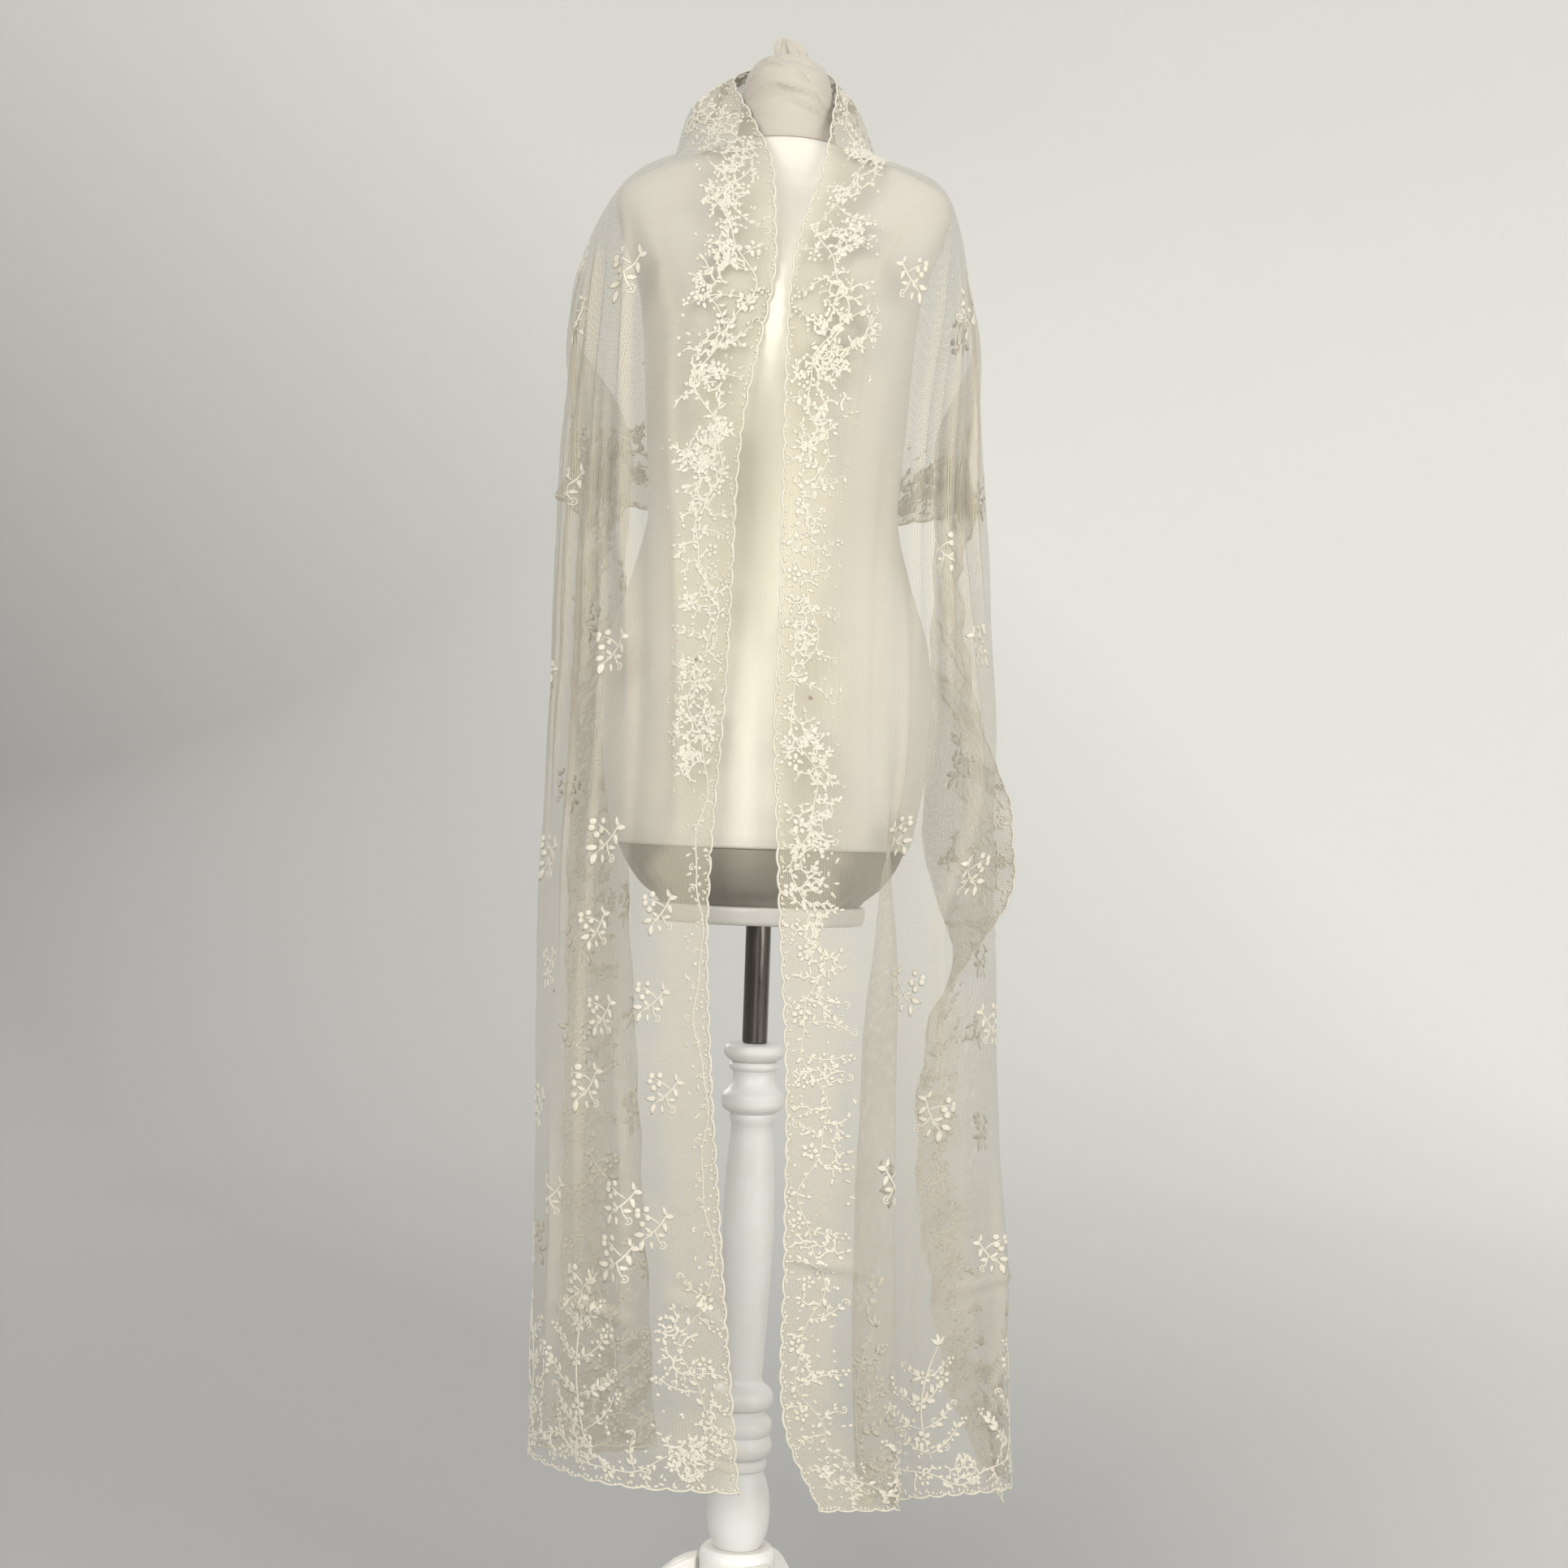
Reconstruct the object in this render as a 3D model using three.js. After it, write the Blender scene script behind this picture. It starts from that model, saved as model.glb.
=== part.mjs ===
// A lace shawl: one long rectangle of embroidered net, hung round the neck and over the shoulders
// of a limbless dress form on a turned stand. Millimetres, +Z up, the viewer stands on the -Y side.
import * as THREE from "three";

// Cloth: the cut of the shawl and its wall
const SHAWL_WIDTH = 490;
const CLOTH_WALL = 1.4;
const SEAM_GAP = 0.3;
const SEWN_GAP = 1.2;
const ACROSS_STEPS = 24;
const NORMAL_STEP = 3;

// Cloth: where its threads start to fall, at the shoulder point
const SHOULDER_Z = 1532;
const SHOULDER_ALONG = 205;
const SHOULDER_ACROSS = 180;
const FALL_STRETCH = 0.98;

// Cloth: distances along the shawl from its middle, at which its stretches end
const NECK_END = 110;
const SHOULDER_END = 400;
const LEFT_HEM = 1480;
const RIGHT_HEM = 1500;

// The stand's axis lies this far to the side of the middle of the whole width
const AXIS_X = -18;

// Cloth: the collar's roll outwards and upwards, and how far round it reaches
const ROLL_OUT = 6;
const ROLL_UP = 22;
const ROLL_REACH = 190;

// Dress form: heights of its main lines, and its hard fittings
const TORSO_BOTTOM_Z = 884;
const NECK_SEAM_Z = 1574;
const CAP_TOP_Z = 1661;
const PLATE_TOP_Z = 828;
const PLATE_THICK = 18;
const PLATE_HALF_WIDTH = 104;
const PLATE_HALF_DEPTH = 78;
const POLE_RADIUS = 12.5;

// Stand: the turned post and its three legs
const POST_TOP_Z = 691;
const POST_FOOT_Z = 196;
const HUB_RADIUS = 38;
const HUB_FOOT_Z = 92;
const LEG_COUNT = 3;
const LEG_TOP_Z = 186;
const LEG_REACH = 235;
const LEG_THICK = 26;
const FOOT_RADIUS = 17;
const FOOT_HEIGHT = 14;

const jersey = { color: 0xefe9dd, roughness: 0.85, metalness: 0 };
const net = { color: 0xe9e1cb, roughness: 0.9, metalness: 0 };
const paint = { color: 0xf1f0ec, roughness: 0.35, metalness: 0 };
const chrome = { color: 0xb9bbbd, roughness: 0.15, metalness: 1 };

// Points where each crossing of the shawl is held, from its inner edge to its free edge
const COLUMNS = ["edge", "front", "tuck", "fold", "back", "free"];

// The crossing at the middle of the back
const middleRow = {
  along: 0, edge: [3, 52, 1670], front: [3, 97, 1581], tuck: [2, 110, 1526],
  fold: [1, 124, 1401], back: [0, 123, 1302], free: [0, 114, 1205],
};

// Crossings over the collar and shoulder, which give every height
const leftShoulder = [
  { along: 75, edge: [-52, 10, 1646], front: [-99, 54, 1571], tuck: [-94, 92, 1539],
    fold: [-93, 122, 1418], back: [-91, 124, 1318], free: [-84, 118, 1218] },
  { along: 150, edge: [-33, -44, 1592], front: [-112, 12, 1565], tuck: [-147, 58, 1540],
    fold: [-176, 100, 1428], back: [-178, 105, 1330], free: [-168, 108, 1230] },
  { along: 205, edge: [-12, -80, 1543], front: [-108, -40, 1553], tuck: [-158, -8, 1536],
    fold: [-207, 44, 1445], back: [-210, 64, 1347], free: [-203, 87, 1245] },
  { along: 265, edge: [-6, -101, 1487], front: [-106, -76, 1500], tuck: [-159, -42, 1496],
    fold: [-209, 32, 1410], back: [-186, 66, 1320], free: [-214, 44, 1228] },
  { along: 330, edge: [-5, -118, 1425], front: [-105, -99, 1434], tuck: [-158, -65, 1430],
    fold: [-207, 22, 1378], back: [-152, 60, 1300], free: [-200, 90, 1208] },
];
const rightShoulder = [
  { along: 75, edge: [46, 14, 1648], front: [76, 60, 1566], tuck: [88, 96, 1534],
    fold: [93, 122, 1412], back: [92, 124, 1313], free: [86, 118, 1212] },
  { along: 150, edge: [45, -40, 1592], front: [98, 18, 1566], tuck: [146, 58, 1536],
    fold: [174, 98, 1420], back: [176, 104, 1320], free: [168, 106, 1222] },
  { along: 205, edge: [36, -72, 1537], front: [112, -34, 1552], tuck: [161, -2, 1535],
    fold: [192, 44, 1432], back: [198, 62, 1333], free: [192, 92, 1234] },
  { along: 265, edge: [19, -100, 1478], front: [110, -72, 1492], tuck: [161, -36, 1490],
    fold: [195, 32, 1402], back: [186, 64, 1315], free: [208, 50, 1220] },
  { along: 330, edge: [9, -121, 1418], front: [108, -98, 1428], tuck: [158, -62, 1425],
    fold: [198, 22, 1376], back: [165, 72, 1300], free: [196, 104, 1200] },
];

// Crossings of the hanging fronts, seen from above: the edge alone gives a height
const leftFall = [
  { along: 480, edge: [-30, -135, 1275], front: [-130, -112], tuck: [-176, -68],
    fold: [-212, 22], back: [-150, 78], free: [-203, 112] },
  { along: 700, edge: [-36, -138, 1058], front: [-135, -108], tuck: [-184, -62],
    fold: [-217, 25], back: [-152, 88], free: [-205, 125] },
  { along: 950, edge: [-46, -138, 812], front: [-142, -105], tuck: [-190, -58],
    fold: [-217, 28], back: [-132, 90], free: [-200, 125] },
  { along: 1200, edge: [-28, -136, 568], front: [-130, -108], tuck: [-182, -62],
    fold: [-214, 24], back: [-112, 85], free: [-197, 122] },
  { along: LEFT_HEM, edge: [2, -132, 281], front: [-102, -118], tuck: [-158, -82],
    fold: [-211, 15], back: [-88, 80], free: [-190, 112] },
];
const rightFall = [
  { along: 480, edge: [8, -137, 1268], front: [105, -112], tuck: [158, -68],
    fold: [211, 12], back: [167, 78], free: [200, 110] },
  { along: 640, edge: [10, -138, 1108], front: [112, -114], tuck: [154, -84],
    fold: [224, 8], back: [166, 84], free: [221, 70] },
  { along: 740, edge: [8, -138, 1010], front: [112, -114], tuck: [140, -88],
    fold: [230, 5], back: [164, 87], free: [250, 50] },
  { along: 850, edge: [14, -138, 900], front: [122, -116], tuck: [122, -84],
    fold: [232, 3], back: [170, 97], free: [247, 48] },
  { along: 960, edge: [22, -138, 790], front: [135, -110], tuck: [112, -82],
    fold: [236, 5], back: [205, 105], free: [182, 62] },
  { along: 1080, edge: [31, -137, 670], front: [138, -108], tuck: [105, -80],
    fold: [241, 5], back: [215, 110], free: [164, 68] },
  { along: 1250, edge: [35, -136, 500], front: [143, -106], tuck: [104, -78],
    fold: [253, 5], back: [225, 108], free: [180, 70] },
  { along: 1400, edge: [40, -135, 350], front: [148, -105], tuck: [108, -80],
    fold: [262, 2], back: [245, 105], free: [212, 70] },
  { along: RIGHT_HEM, edge: [78, -134, 268], front: [155, -104], tuck: [118, -85],
    fold: [267, 0], back: [262, 92], free: [266, 60] },
];

// How far across the shawl each column lies when it is flat
const COLUMN_ACROSS = { edge: 0, front: 105, tuck: 160, fold: 285, back: 385, free: SHAWL_WIDTH };

// Height of a thread that falls from the shoulder point
function fallHeight(along, across) {
  const down = along - SHOULDER_ALONG;
  const aside = Math.max(0, across - SHOULDER_ACROSS);
  return SHOULDER_Z - FALL_STRETCH * Math.hypot(down, aside);
}

function rowPoints(row) {
  const edgeZ = row.edge[2];
  const foldZ = fallHeight(row.along, COLUMN_ACROSS.fold);
  return COLUMNS.map((name) => {
    const [x, y, given] = row[name];
    const across = COLUMN_ACROSS[name];
    let z = given;
    if (z === undefined) {
      const share = across / COLUMN_ACROSS.fold;
      if (share < 1) z = THREE.MathUtils.lerp(edgeZ, foldZ, share);
      else z = fallHeight(row.along, across);
    }
    return new THREE.Vector3(x, y, z);
  });
}

// Every crossing from the left hem to the right hem, with its signed distance from the middle
function allCrossings() {
  const left = [...leftShoulder, ...leftFall].reverse();
  const right = [...rightShoulder, ...rightFall];
  return {
    stations: [...left.map((row) => -row.along), 0, ...right.map((row) => row.along)],
    points: [...left, middleRow, ...right].map(rowPoints),
  };
}

// Cubic through four values, with uneven spacing of their stations
function throughStations(stations, values, at) {
  const last = stations.length - 1;
  let i = 0;
  while (i < last - 1 && at > stations[i + 1]) i += 1;
  const slope = (k) => {
    if (k === 0) return new THREE.Vector3().subVectors(values[1], values[0])
      .divideScalar(stations[1] - stations[0]);
    if (k === last) return new THREE.Vector3().subVectors(values[last], values[last - 1])
      .divideScalar(stations[last] - stations[last - 1]);
    return new THREE.Vector3().subVectors(values[k + 1], values[k - 1])
      .divideScalar(stations[k + 1] - stations[k - 1]);
  };
  const span = stations[i + 1] - stations[i];
  const t = (at - stations[i]) / span;
  const t2 = t * t;
  const t3 = t2 * t;
  return new THREE.Vector3()
    .addScaledVector(values[i], 2 * t3 - 3 * t2 + 1)
    .addScaledVector(slope(i), (t3 - 2 * t2 + t) * span)
    .addScaledVector(values[i + 1], 3 * t2 - 2 * t3)
    .addScaledVector(slope(i + 1), (t3 - t2) * span);
}

const shawl = allCrossings();

// How far the collar's roll lifts the cloth, between its edge and its foot at the neck
function collarRoll(along, share) {
  const foot = COLUMN_ACROSS.front / SHAWL_WIDTH;
  if (Math.abs(along) > ROLL_REACH || share > foot) return 0;
  const fade = Math.cos((along / ROLL_REACH) * Math.PI / 2);
  return fade * fade * Math.sin((share / foot) * Math.PI);
}

// Points of one crossing, evenly spaced over its own length
function crossing(along, count) {
  const knots = COLUMNS.map((_, c) =>
    throughStations(shawl.stations, shawl.points.map((row) => row[c]), along));
  const points = new THREE.CatmullRomCurve3(knots, false, "centripetal").getSpacedPoints(count);
  points.forEach((point, j) => {
    const roll = collarRoll(along, j / count);
    const outward = new THREE.Vector3(point.x, point.y, 0).normalize();
    point.addScaledVector(outward, roll * ROLL_OUT);
    point.z += roll * ROLL_UP;
  });
  return points;
}

// A closed mesh from rows of points with a normal each: a skin on either side and four rims
function clothWall(rows, wall) {
  const m = rows.length;
  const n = rows[0].length;
  const positions = [];
  for (const lift of [wall / 2, -wall / 2]) {
    for (const row of rows) {
      for (const { point, normal } of row) {
        positions.push(...point.clone().addScaledVector(normal, lift).toArray());
      }
    }
  }
  const at = (skin, i, j) => skin * m * n + i * n + j;
  const index = [];
  const quad = (a, b, c, d) => index.push(a, b, c, a, c, d);
  for (let i = 0; i < m - 1; i += 1) {
    for (let j = 0; j < n - 1; j += 1) {
      quad(at(0, i, j), at(0, i + 1, j), at(0, i + 1, j + 1), at(0, i, j + 1));
      quad(at(1, i, j), at(1, i, j + 1), at(1, i + 1, j + 1), at(1, i + 1, j));
    }
  }
  for (let i = 0; i < m - 1; i += 1) {
    quad(at(0, i, 0), at(1, i, 0), at(1, i + 1, 0), at(0, i + 1, 0));
    quad(at(0, i, n - 1), at(0, i + 1, n - 1), at(1, i + 1, n - 1), at(1, i, n - 1));
  }
  for (let j = 0; j < n - 1; j += 1) {
    quad(at(0, 0, j), at(0, 0, j + 1), at(1, 0, j + 1), at(1, 0, j));
    quad(at(0, m - 1, j), at(1, m - 1, j), at(1, m - 1, j + 1), at(0, m - 1, j + 1));
  }
  const geometry = new THREE.BufferGeometry();
  geometry.setAttribute("position", new THREE.Float32BufferAttribute(positions, 3));
  geometry.setIndex(index);
  return geometry;
}

// A crossing with the cloth's normal at each point, from the crossings just before and after it
function crossingWithNormals(along) {
  const points = crossing(along, ACROSS_STEPS);
  const before = crossing(along - NORMAL_STEP, ACROSS_STEPS);
  const after = crossing(along + NORMAL_STEP, ACROSS_STEPS);
  return points.map((point, j) => {
    const lengthwise = new THREE.Vector3().subVectors(after[j], before[j]);
    const crosswise = new THREE.Vector3()
      .subVectors(points[Math.min(j + 1, ACROSS_STEPS)], points[Math.max(j - 1, 0)]);
    return { point, normal: lengthwise.cross(crosswise).normalize() };
  });
}

// One stretch of the shawl, from one signed distance along it to another
function stretch(from, to, steps) {
  const rows = [];
  for (let i = 0; i <= steps; i += 1) {
    rows.push(crossingWithNormals(THREE.MathUtils.lerp(from, to, i / steps)));
  }
  return clothWall(rows, CLOTH_WALL);
}

// Sections of the torso: half width, and how far it reaches forward and back of the axis
const torsoSections = [
  { z: TORSO_BOTTOM_Z, wide: 147, front: 106, back: 112 },
  { z: 940, wide: 157, front: 110, back: 122 },
  { z: 1010, wide: 162, front: 110, back: 126 },
  { z: 1080, wide: 159, front: 102, back: 117 },
  { z: 1145, wide: 139, front: 88, back: 94 },
  { z: 1208, wide: 124, front: 80, back: 78 },
  { z: 1270, wide: 127, front: 92, back: 82 },
  { z: 1325, wide: 131, front: 110, back: 95 },
  { z: 1376, wide: 134, front: 121, back: 105 },
  { z: 1430, wide: 141, front: 107, back: 111 },
  { z: 1480, wide: 158, front: 78, back: 109 },
  { z: 1512, wide: 166, front: 56, back: 96 },
  { z: 1529, wide: 161, front: 48, back: 84 },
  { z: 1544, wide: 137, front: 49, back: 78 },
  { z: 1557, wide: 104, front: 50, back: 73 },
  { z: 1567, wide: 73, front: 50, back: 66 },
  { z: NECK_SEAM_Z - 0.4, wide: 52, front: 48, back: 56 },
];
const capSections = [
  { z: NECK_SEAM_Z, wide: 51, front: 47, back: 55 },
  { z: 1592, wide: 47, front: 45, back: 50 },
  { z: 1618, wide: 45, front: 44, back: 47 },
  { z: 1640, wide: 41, front: 41, back: 43 },
  { z: 1654, wide: 32, front: 33, back: 34 },
  { z: CAP_TOP_Z, wide: 18, front: 20, back: 20 },
];
const undersideSections = [
  { z: PLATE_TOP_Z + 0.3, wide: 98, front: 70, back: 72 },
  { z: 846, wide: 118, front: 84, back: 88 },
  { z: TORSO_BOTTOM_Z - 0.3, wide: 141, front: 101, back: 107 },
];

// A closed solid through level sections, each made of a front and a back half ellipse
function sectionLoft(sections, sidesRound) {
  const positions = [];
  for (const { z, wide, front, back } of sections) {
    for (let k = 0; k < sidesRound; k += 1) {
      const angle = (k / sidesRound) * Math.PI * 2;
      const depth = Math.sin(angle) < 0 ? front : back;
      positions.push(wide * Math.cos(angle), depth * Math.sin(angle), z);
    }
  }
  const first = sections[0];
  const top = sections[sections.length - 1];
  positions.push(0, 0, first.z, 0, 0, top.z);
  const foot = sections.length * sidesRound;
  const index = [];
  for (let s = 0; s < sections.length - 1; s += 1) {
    for (let k = 0; k < sidesRound; k += 1) {
      const next = (k + 1) % sidesRound;
      const a = s * sidesRound + k;
      const b = s * sidesRound + next;
      index.push(a, b, b + sidesRound, a, b + sidesRound, a + sidesRound);
    }
  }
  for (let k = 0; k < sidesRound; k += 1) {
    const next = (k + 1) % sidesRound;
    const last = (sections.length - 1) * sidesRound;
    index.push(foot, next, k, foot + 1, last + k, last + next);
  }
  const geometry = new THREE.BufferGeometry();
  geometry.setAttribute("position", new THREE.Float32BufferAttribute(positions, 3));
  geometry.setIndex(index);
  return geometry;
}

// A turned solid about the axis, from a profile of radius and height, foot first
function turned(profile, sidesRound) {
  const points = profile.map(([radius, z]) => new THREE.Vector2(radius, z));
  return new THREE.LatheGeometry(points, sidesRound).rotateX(Math.PI / 2);
}

// The turned post: plain shaft, with rings near its top and beads and a vase near its foot
const postProfile = [
  [0, POST_FOOT_Z], [24, POST_FOOT_Z], [30, 214], [31, 236], [28, 258], [23, 271],
  [25.5, 273], [25.5, 281], [23, 283], [30, 288], [31, 298], [28, 306], [30, 310], [29, 320],
  [24, 326], [24, 331], [30, 336], [30.5, 345], [27, 352], [19, 358], [20, 375], [25, 490],
  [24.5, 560], [20, 612], [22, 622], [30, 628], [30, 642], [26, 645], [20, 660], [21, 664],
  [24, 667], [24, 671], [21, 673], [27, 676], [30, 683], [27, 690], [0, POST_TOP_Z],
];

// The pole runs from the plate down to the post's top
function poleGeometry() {
  const top = PLATE_TOP_Z - PLATE_THICK - SEAM_GAP;
  const foot = POST_TOP_Z + SEAM_GAP;
  return new THREE.CylinderGeometry(POLE_RADIUS, POLE_RADIUS, top - foot, 32)
    .rotateX(Math.PI / 2).translate(0, 0, (top + foot) / 2);
}

// The oval plate under the form
function plateGeometry() {
  return sectionLoft([
    { z: PLATE_TOP_Z - PLATE_THICK, wide: PLATE_HALF_WIDTH - 4, front: PLATE_HALF_DEPTH - 4,
      back: PLATE_HALF_DEPTH - 4 },
    { z: PLATE_TOP_Z - PLATE_THICK + 4, wide: PLATE_HALF_WIDTH, front: PLATE_HALF_DEPTH,
      back: PLATE_HALF_DEPTH },
    { z: PLATE_TOP_Z, wide: PLATE_HALF_WIDTH, front: PLATE_HALF_DEPTH, back: PLATE_HALF_DEPTH },
  ], 40);
}

// The bunch of jersey tied off at the top of the cap, leaning to the viewer's right
function knobGeometry() {
  return sectionLoft([
    { z: CAP_TOP_Z + SEAM_GAP, wide: 17, front: 9, back: 9 },
    { z: 1668, wide: 16, front: 8, back: 8 },
    { z: 1677, wide: 12, front: 6, back: 6 },
    { z: 1682, wide: 5, front: 4, back: 4 },
  ], 20);
}

// The hub below the post, which holds the legs
function hubGeometry() {
  return turned([
    [0, HUB_FOOT_Z], [HUB_RADIUS - 6, HUB_FOOT_Z], [HUB_RADIUS + 1, HUB_FOOT_Z + 8],
    [HUB_RADIUS + 1, 150], [HUB_RADIUS, 190], [HUB_RADIUS - 4, POST_FOOT_Z - SEAM_GAP],
    [0, POST_FOOT_Z - SEAM_GAP],
  ], 36);
}

// One curved leg, from the hub's side down to the floor, as a flat board cut to an S curve
function legGeometry() {
  const outline = new THREE.Shape();
  const start = HUB_RADIUS + 1.3;
  outline.moveTo(start, LEG_TOP_Z);
  outline.bezierCurveTo(95, LEG_TOP_Z - 2, 120, 60, LEG_REACH - 30, 44);
  outline.bezierCurveTo(LEG_REACH - 12, 42, LEG_REACH, 34, LEG_REACH + 2, FOOT_HEIGHT + SEAM_GAP);
  outline.lineTo(LEG_REACH - 34, FOOT_HEIGHT + SEAM_GAP);
  outline.bezierCurveTo(150, 22, 90, 60, 70, 96);
  outline.quadraticCurveTo(58, 116, start, 118);
  outline.closePath();
  const board = { depth: LEG_THICK, bevelEnabled: false, curveSegments: 7 };
  return new THREE.ExtrudeGeometry(outline, board)
    .translate(0, 0, -LEG_THICK / 2).rotateX(Math.PI / 2);
}

function footGeometry() {
  return new THREE.CylinderGeometry(FOOT_RADIUS, FOOT_RADIUS - 3, FOOT_HEIGHT, 28)
    .rotateX(Math.PI / 2).translate(LEG_REACH - 16, 0, FOOT_HEIGHT / 2);
}

const part = new THREE.Group();
part.position.x = AXIS_X;

function add(name, geometry, finish) {
  const mesh = new THREE.Mesh(geometry, new THREE.MeshStandardMaterial(finish));
  mesh.name = name;
  part.add(mesh);
  return mesh;
}

add("form_torso", sectionLoft(torsoSections, 48), jersey);
add("form_underside", sectionLoft(undersideSections, 48), jersey);
add("form_neck_cap", sectionLoft(capSections, 32), jersey);
add("form_cap_knob", knobGeometry(), jersey);
add("form_plate", plateGeometry(), paint);
add("stand_pole", poleGeometry(), chrome);
add("stand_post", turned(postProfile, 26), paint);
add("stand_hub", hubGeometry(), paint);
for (let k = 0; k < LEG_COUNT; k += 1) {
  const turn = Math.PI + (k / LEG_COUNT) * Math.PI * 2;
  add(`stand_leg_${k + 1}`, legGeometry(), paint).rotation.z = turn;
  add(`stand_foot_${k + 1}`, footGeometry(), paint).rotation.z = turn;
}
add("shawl_neck", stretch(-NECK_END, NECK_END, 9), net);
add("shawl_left_shoulder", stretch(-SHOULDER_END, -NECK_END - SEWN_GAP, 10), net);
add("shawl_left_fall", stretch(-LEFT_HEM, -SHOULDER_END - SEWN_GAP, 22), net);
add("shawl_right_shoulder", stretch(NECK_END + SEWN_GAP, SHOULDER_END, 10), net);
add("shawl_right_fall", stretch(SHOULDER_END + SEWN_GAP, RIGHT_HEM, 28), net);

export default part;
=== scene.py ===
"""A lace shawl on a dress form: its net, thread work, form and stand, with camera, light and floor."""
import math
import random

import bpy
import numpy as np
from mathutils import Matrix, Vector


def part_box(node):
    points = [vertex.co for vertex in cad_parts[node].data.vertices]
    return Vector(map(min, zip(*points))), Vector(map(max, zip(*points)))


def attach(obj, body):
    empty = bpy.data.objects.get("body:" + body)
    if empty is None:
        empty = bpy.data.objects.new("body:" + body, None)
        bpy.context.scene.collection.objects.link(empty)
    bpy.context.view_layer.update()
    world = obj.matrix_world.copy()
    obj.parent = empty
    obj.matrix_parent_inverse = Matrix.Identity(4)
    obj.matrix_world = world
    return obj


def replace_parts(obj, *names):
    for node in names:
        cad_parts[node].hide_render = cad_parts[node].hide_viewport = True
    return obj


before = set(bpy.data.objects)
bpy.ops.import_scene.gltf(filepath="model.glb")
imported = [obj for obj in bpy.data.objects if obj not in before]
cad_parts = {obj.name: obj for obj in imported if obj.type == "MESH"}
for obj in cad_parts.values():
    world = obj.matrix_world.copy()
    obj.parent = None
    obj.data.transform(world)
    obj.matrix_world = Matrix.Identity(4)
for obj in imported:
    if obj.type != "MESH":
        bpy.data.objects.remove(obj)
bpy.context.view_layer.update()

MM = 0.001

# The stand's axis, in millimetres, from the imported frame
POLE_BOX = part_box("stand_pole")
AXIS_X = (POLE_BOX[0][0] + POLE_BOX[1][0]) / 2 / MM

# Shawl, in millimetres: its cut, where it starts to fall from the shoulder, and the collar's roll
WIDTH = 490
LEFT_HEM = 1480
RIGHT_HEM = 1500
SHOULDER_Z = 1532
SHOULDER_ALONG = 205
SHOULDER_ACROSS = 180
FALL_STRETCH = 0.98
ROLL_OUT = 6
ROLL_UP = 22
ROLL_REACH = 190

# Camera: place from the axis, its lens for a 36 mm sensor, and its roll
PICTURE_SIDE = 1932
CAMERA_RIGHT = 20
CAMERA_AWAY = 2500
CAMERA_Z = 947
FOCAL_PIXELS = 3125
SENSOR = 36
ROLL = math.radians(2)


def add_object(name, data):
    made = bpy.data.objects.new(name, data)
    bpy.context.collection.objects.link(made)
    return made


def make_camera():
    data = bpy.data.cameras.new("camera")
    data.sensor_width = SENSOR
    data.lens = SENSOR * FOCAL_PIXELS / PICTURE_SIDE
    camera = add_object("camera", data)
    right = Vector((math.cos(ROLL), 0, math.sin(ROLL)))
    up = Vector((-math.sin(ROLL), 0, math.cos(ROLL)))
    away = Vector((0, -1, 0))
    place = Vector((AXIS_X + CAMERA_RIGHT, -CAMERA_AWAY, CAMERA_Z)) * MM
    turn = Matrix((right, up, away)).transposed().to_4x4()
    camera.matrix_world = Matrix.Translation(place) @ turn
    bpy.context.scene.camera = camera


make_camera()

# Points where each crossing of the shawl is held, and how far across it they lie when it is flat
ACROSS = {"edge": 0, "front": 105, "tuck": 160, "fold": 285, "back": 385, "free": WIDTH}


def row(along, edge, front, tuck, fold, back, free):
    """Six points of one crossing; a point with no height takes it from how the cloth falls."""
    given = dict(edge=edge, front=front, tuck=tuck, fold=fold, back=back, free=free)
    fold_z = fall_height(along, ACROSS["fold"])
    points = []
    for name, across in ACROSS.items():
        point = given[name]
        if len(point) == 2:
            share = across / ACROSS["fold"]
            z = fall_height(along, across)
            if share < 1:
                z = edge[2] + (fold_z - edge[2]) * share
            point = (*point, z)
        points.append(point)
    return along, points


def fall_height(along, across):
    aside = max(0, across - SHOULDER_ACROSS)
    return SHOULDER_Z - FALL_STRETCH * math.hypot(along - SHOULDER_ALONG, aside)


MIDDLE = row(0, (3, 52, 1670), (3, 97, 1581), (2, 110, 1526), (1, 124, 1401), (0, 123, 1302),
             (0, 114, 1205))
LEFT = [
    row(75, (-52, 10, 1646), (-99, 54, 1571), (-94, 92, 1539), (-93, 122, 1418),
        (-91, 124, 1318), (-84, 118, 1218)),
    row(150, (-33, -44, 1592), (-112, 12, 1565), (-147, 58, 1540), (-176, 100, 1428),
        (-178, 105, 1330), (-168, 108, 1230)),
    row(205, (-12, -80, 1543), (-108, -40, 1553), (-158, -8, 1536), (-207, 44, 1445),
        (-210, 64, 1347), (-203, 87, 1245)),
    row(265, (-6, -101, 1487), (-106, -76, 1500), (-159, -42, 1496), (-209, 32, 1410),
        (-186, 66, 1320), (-214, 44, 1228)),
    row(330, (-5, -118, 1425), (-105, -99, 1434), (-158, -65, 1430), (-207, 22, 1378),
        (-152, 60, 1300), (-200, 90, 1208)),
    row(480, (-30, -135, 1275), (-130, -112), (-176, -68), (-212, 22), (-150, 78), (-203, 112)),
    row(700, (-36, -138, 1058), (-135, -108), (-184, -62), (-217, 25), (-152, 88), (-205, 125)),
    row(950, (-46, -138, 812), (-142, -105), (-190, -58), (-217, 28), (-132, 90), (-200, 125)),
    row(1200, (-28, -136, 568), (-130, -108), (-182, -62), (-214, 24), (-112, 85), (-197, 122)),
    row(LEFT_HEM, (2, -132, 281), (-102, -118), (-158, -82), (-211, 15), (-88, 80), (-190, 112)),
]
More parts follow.
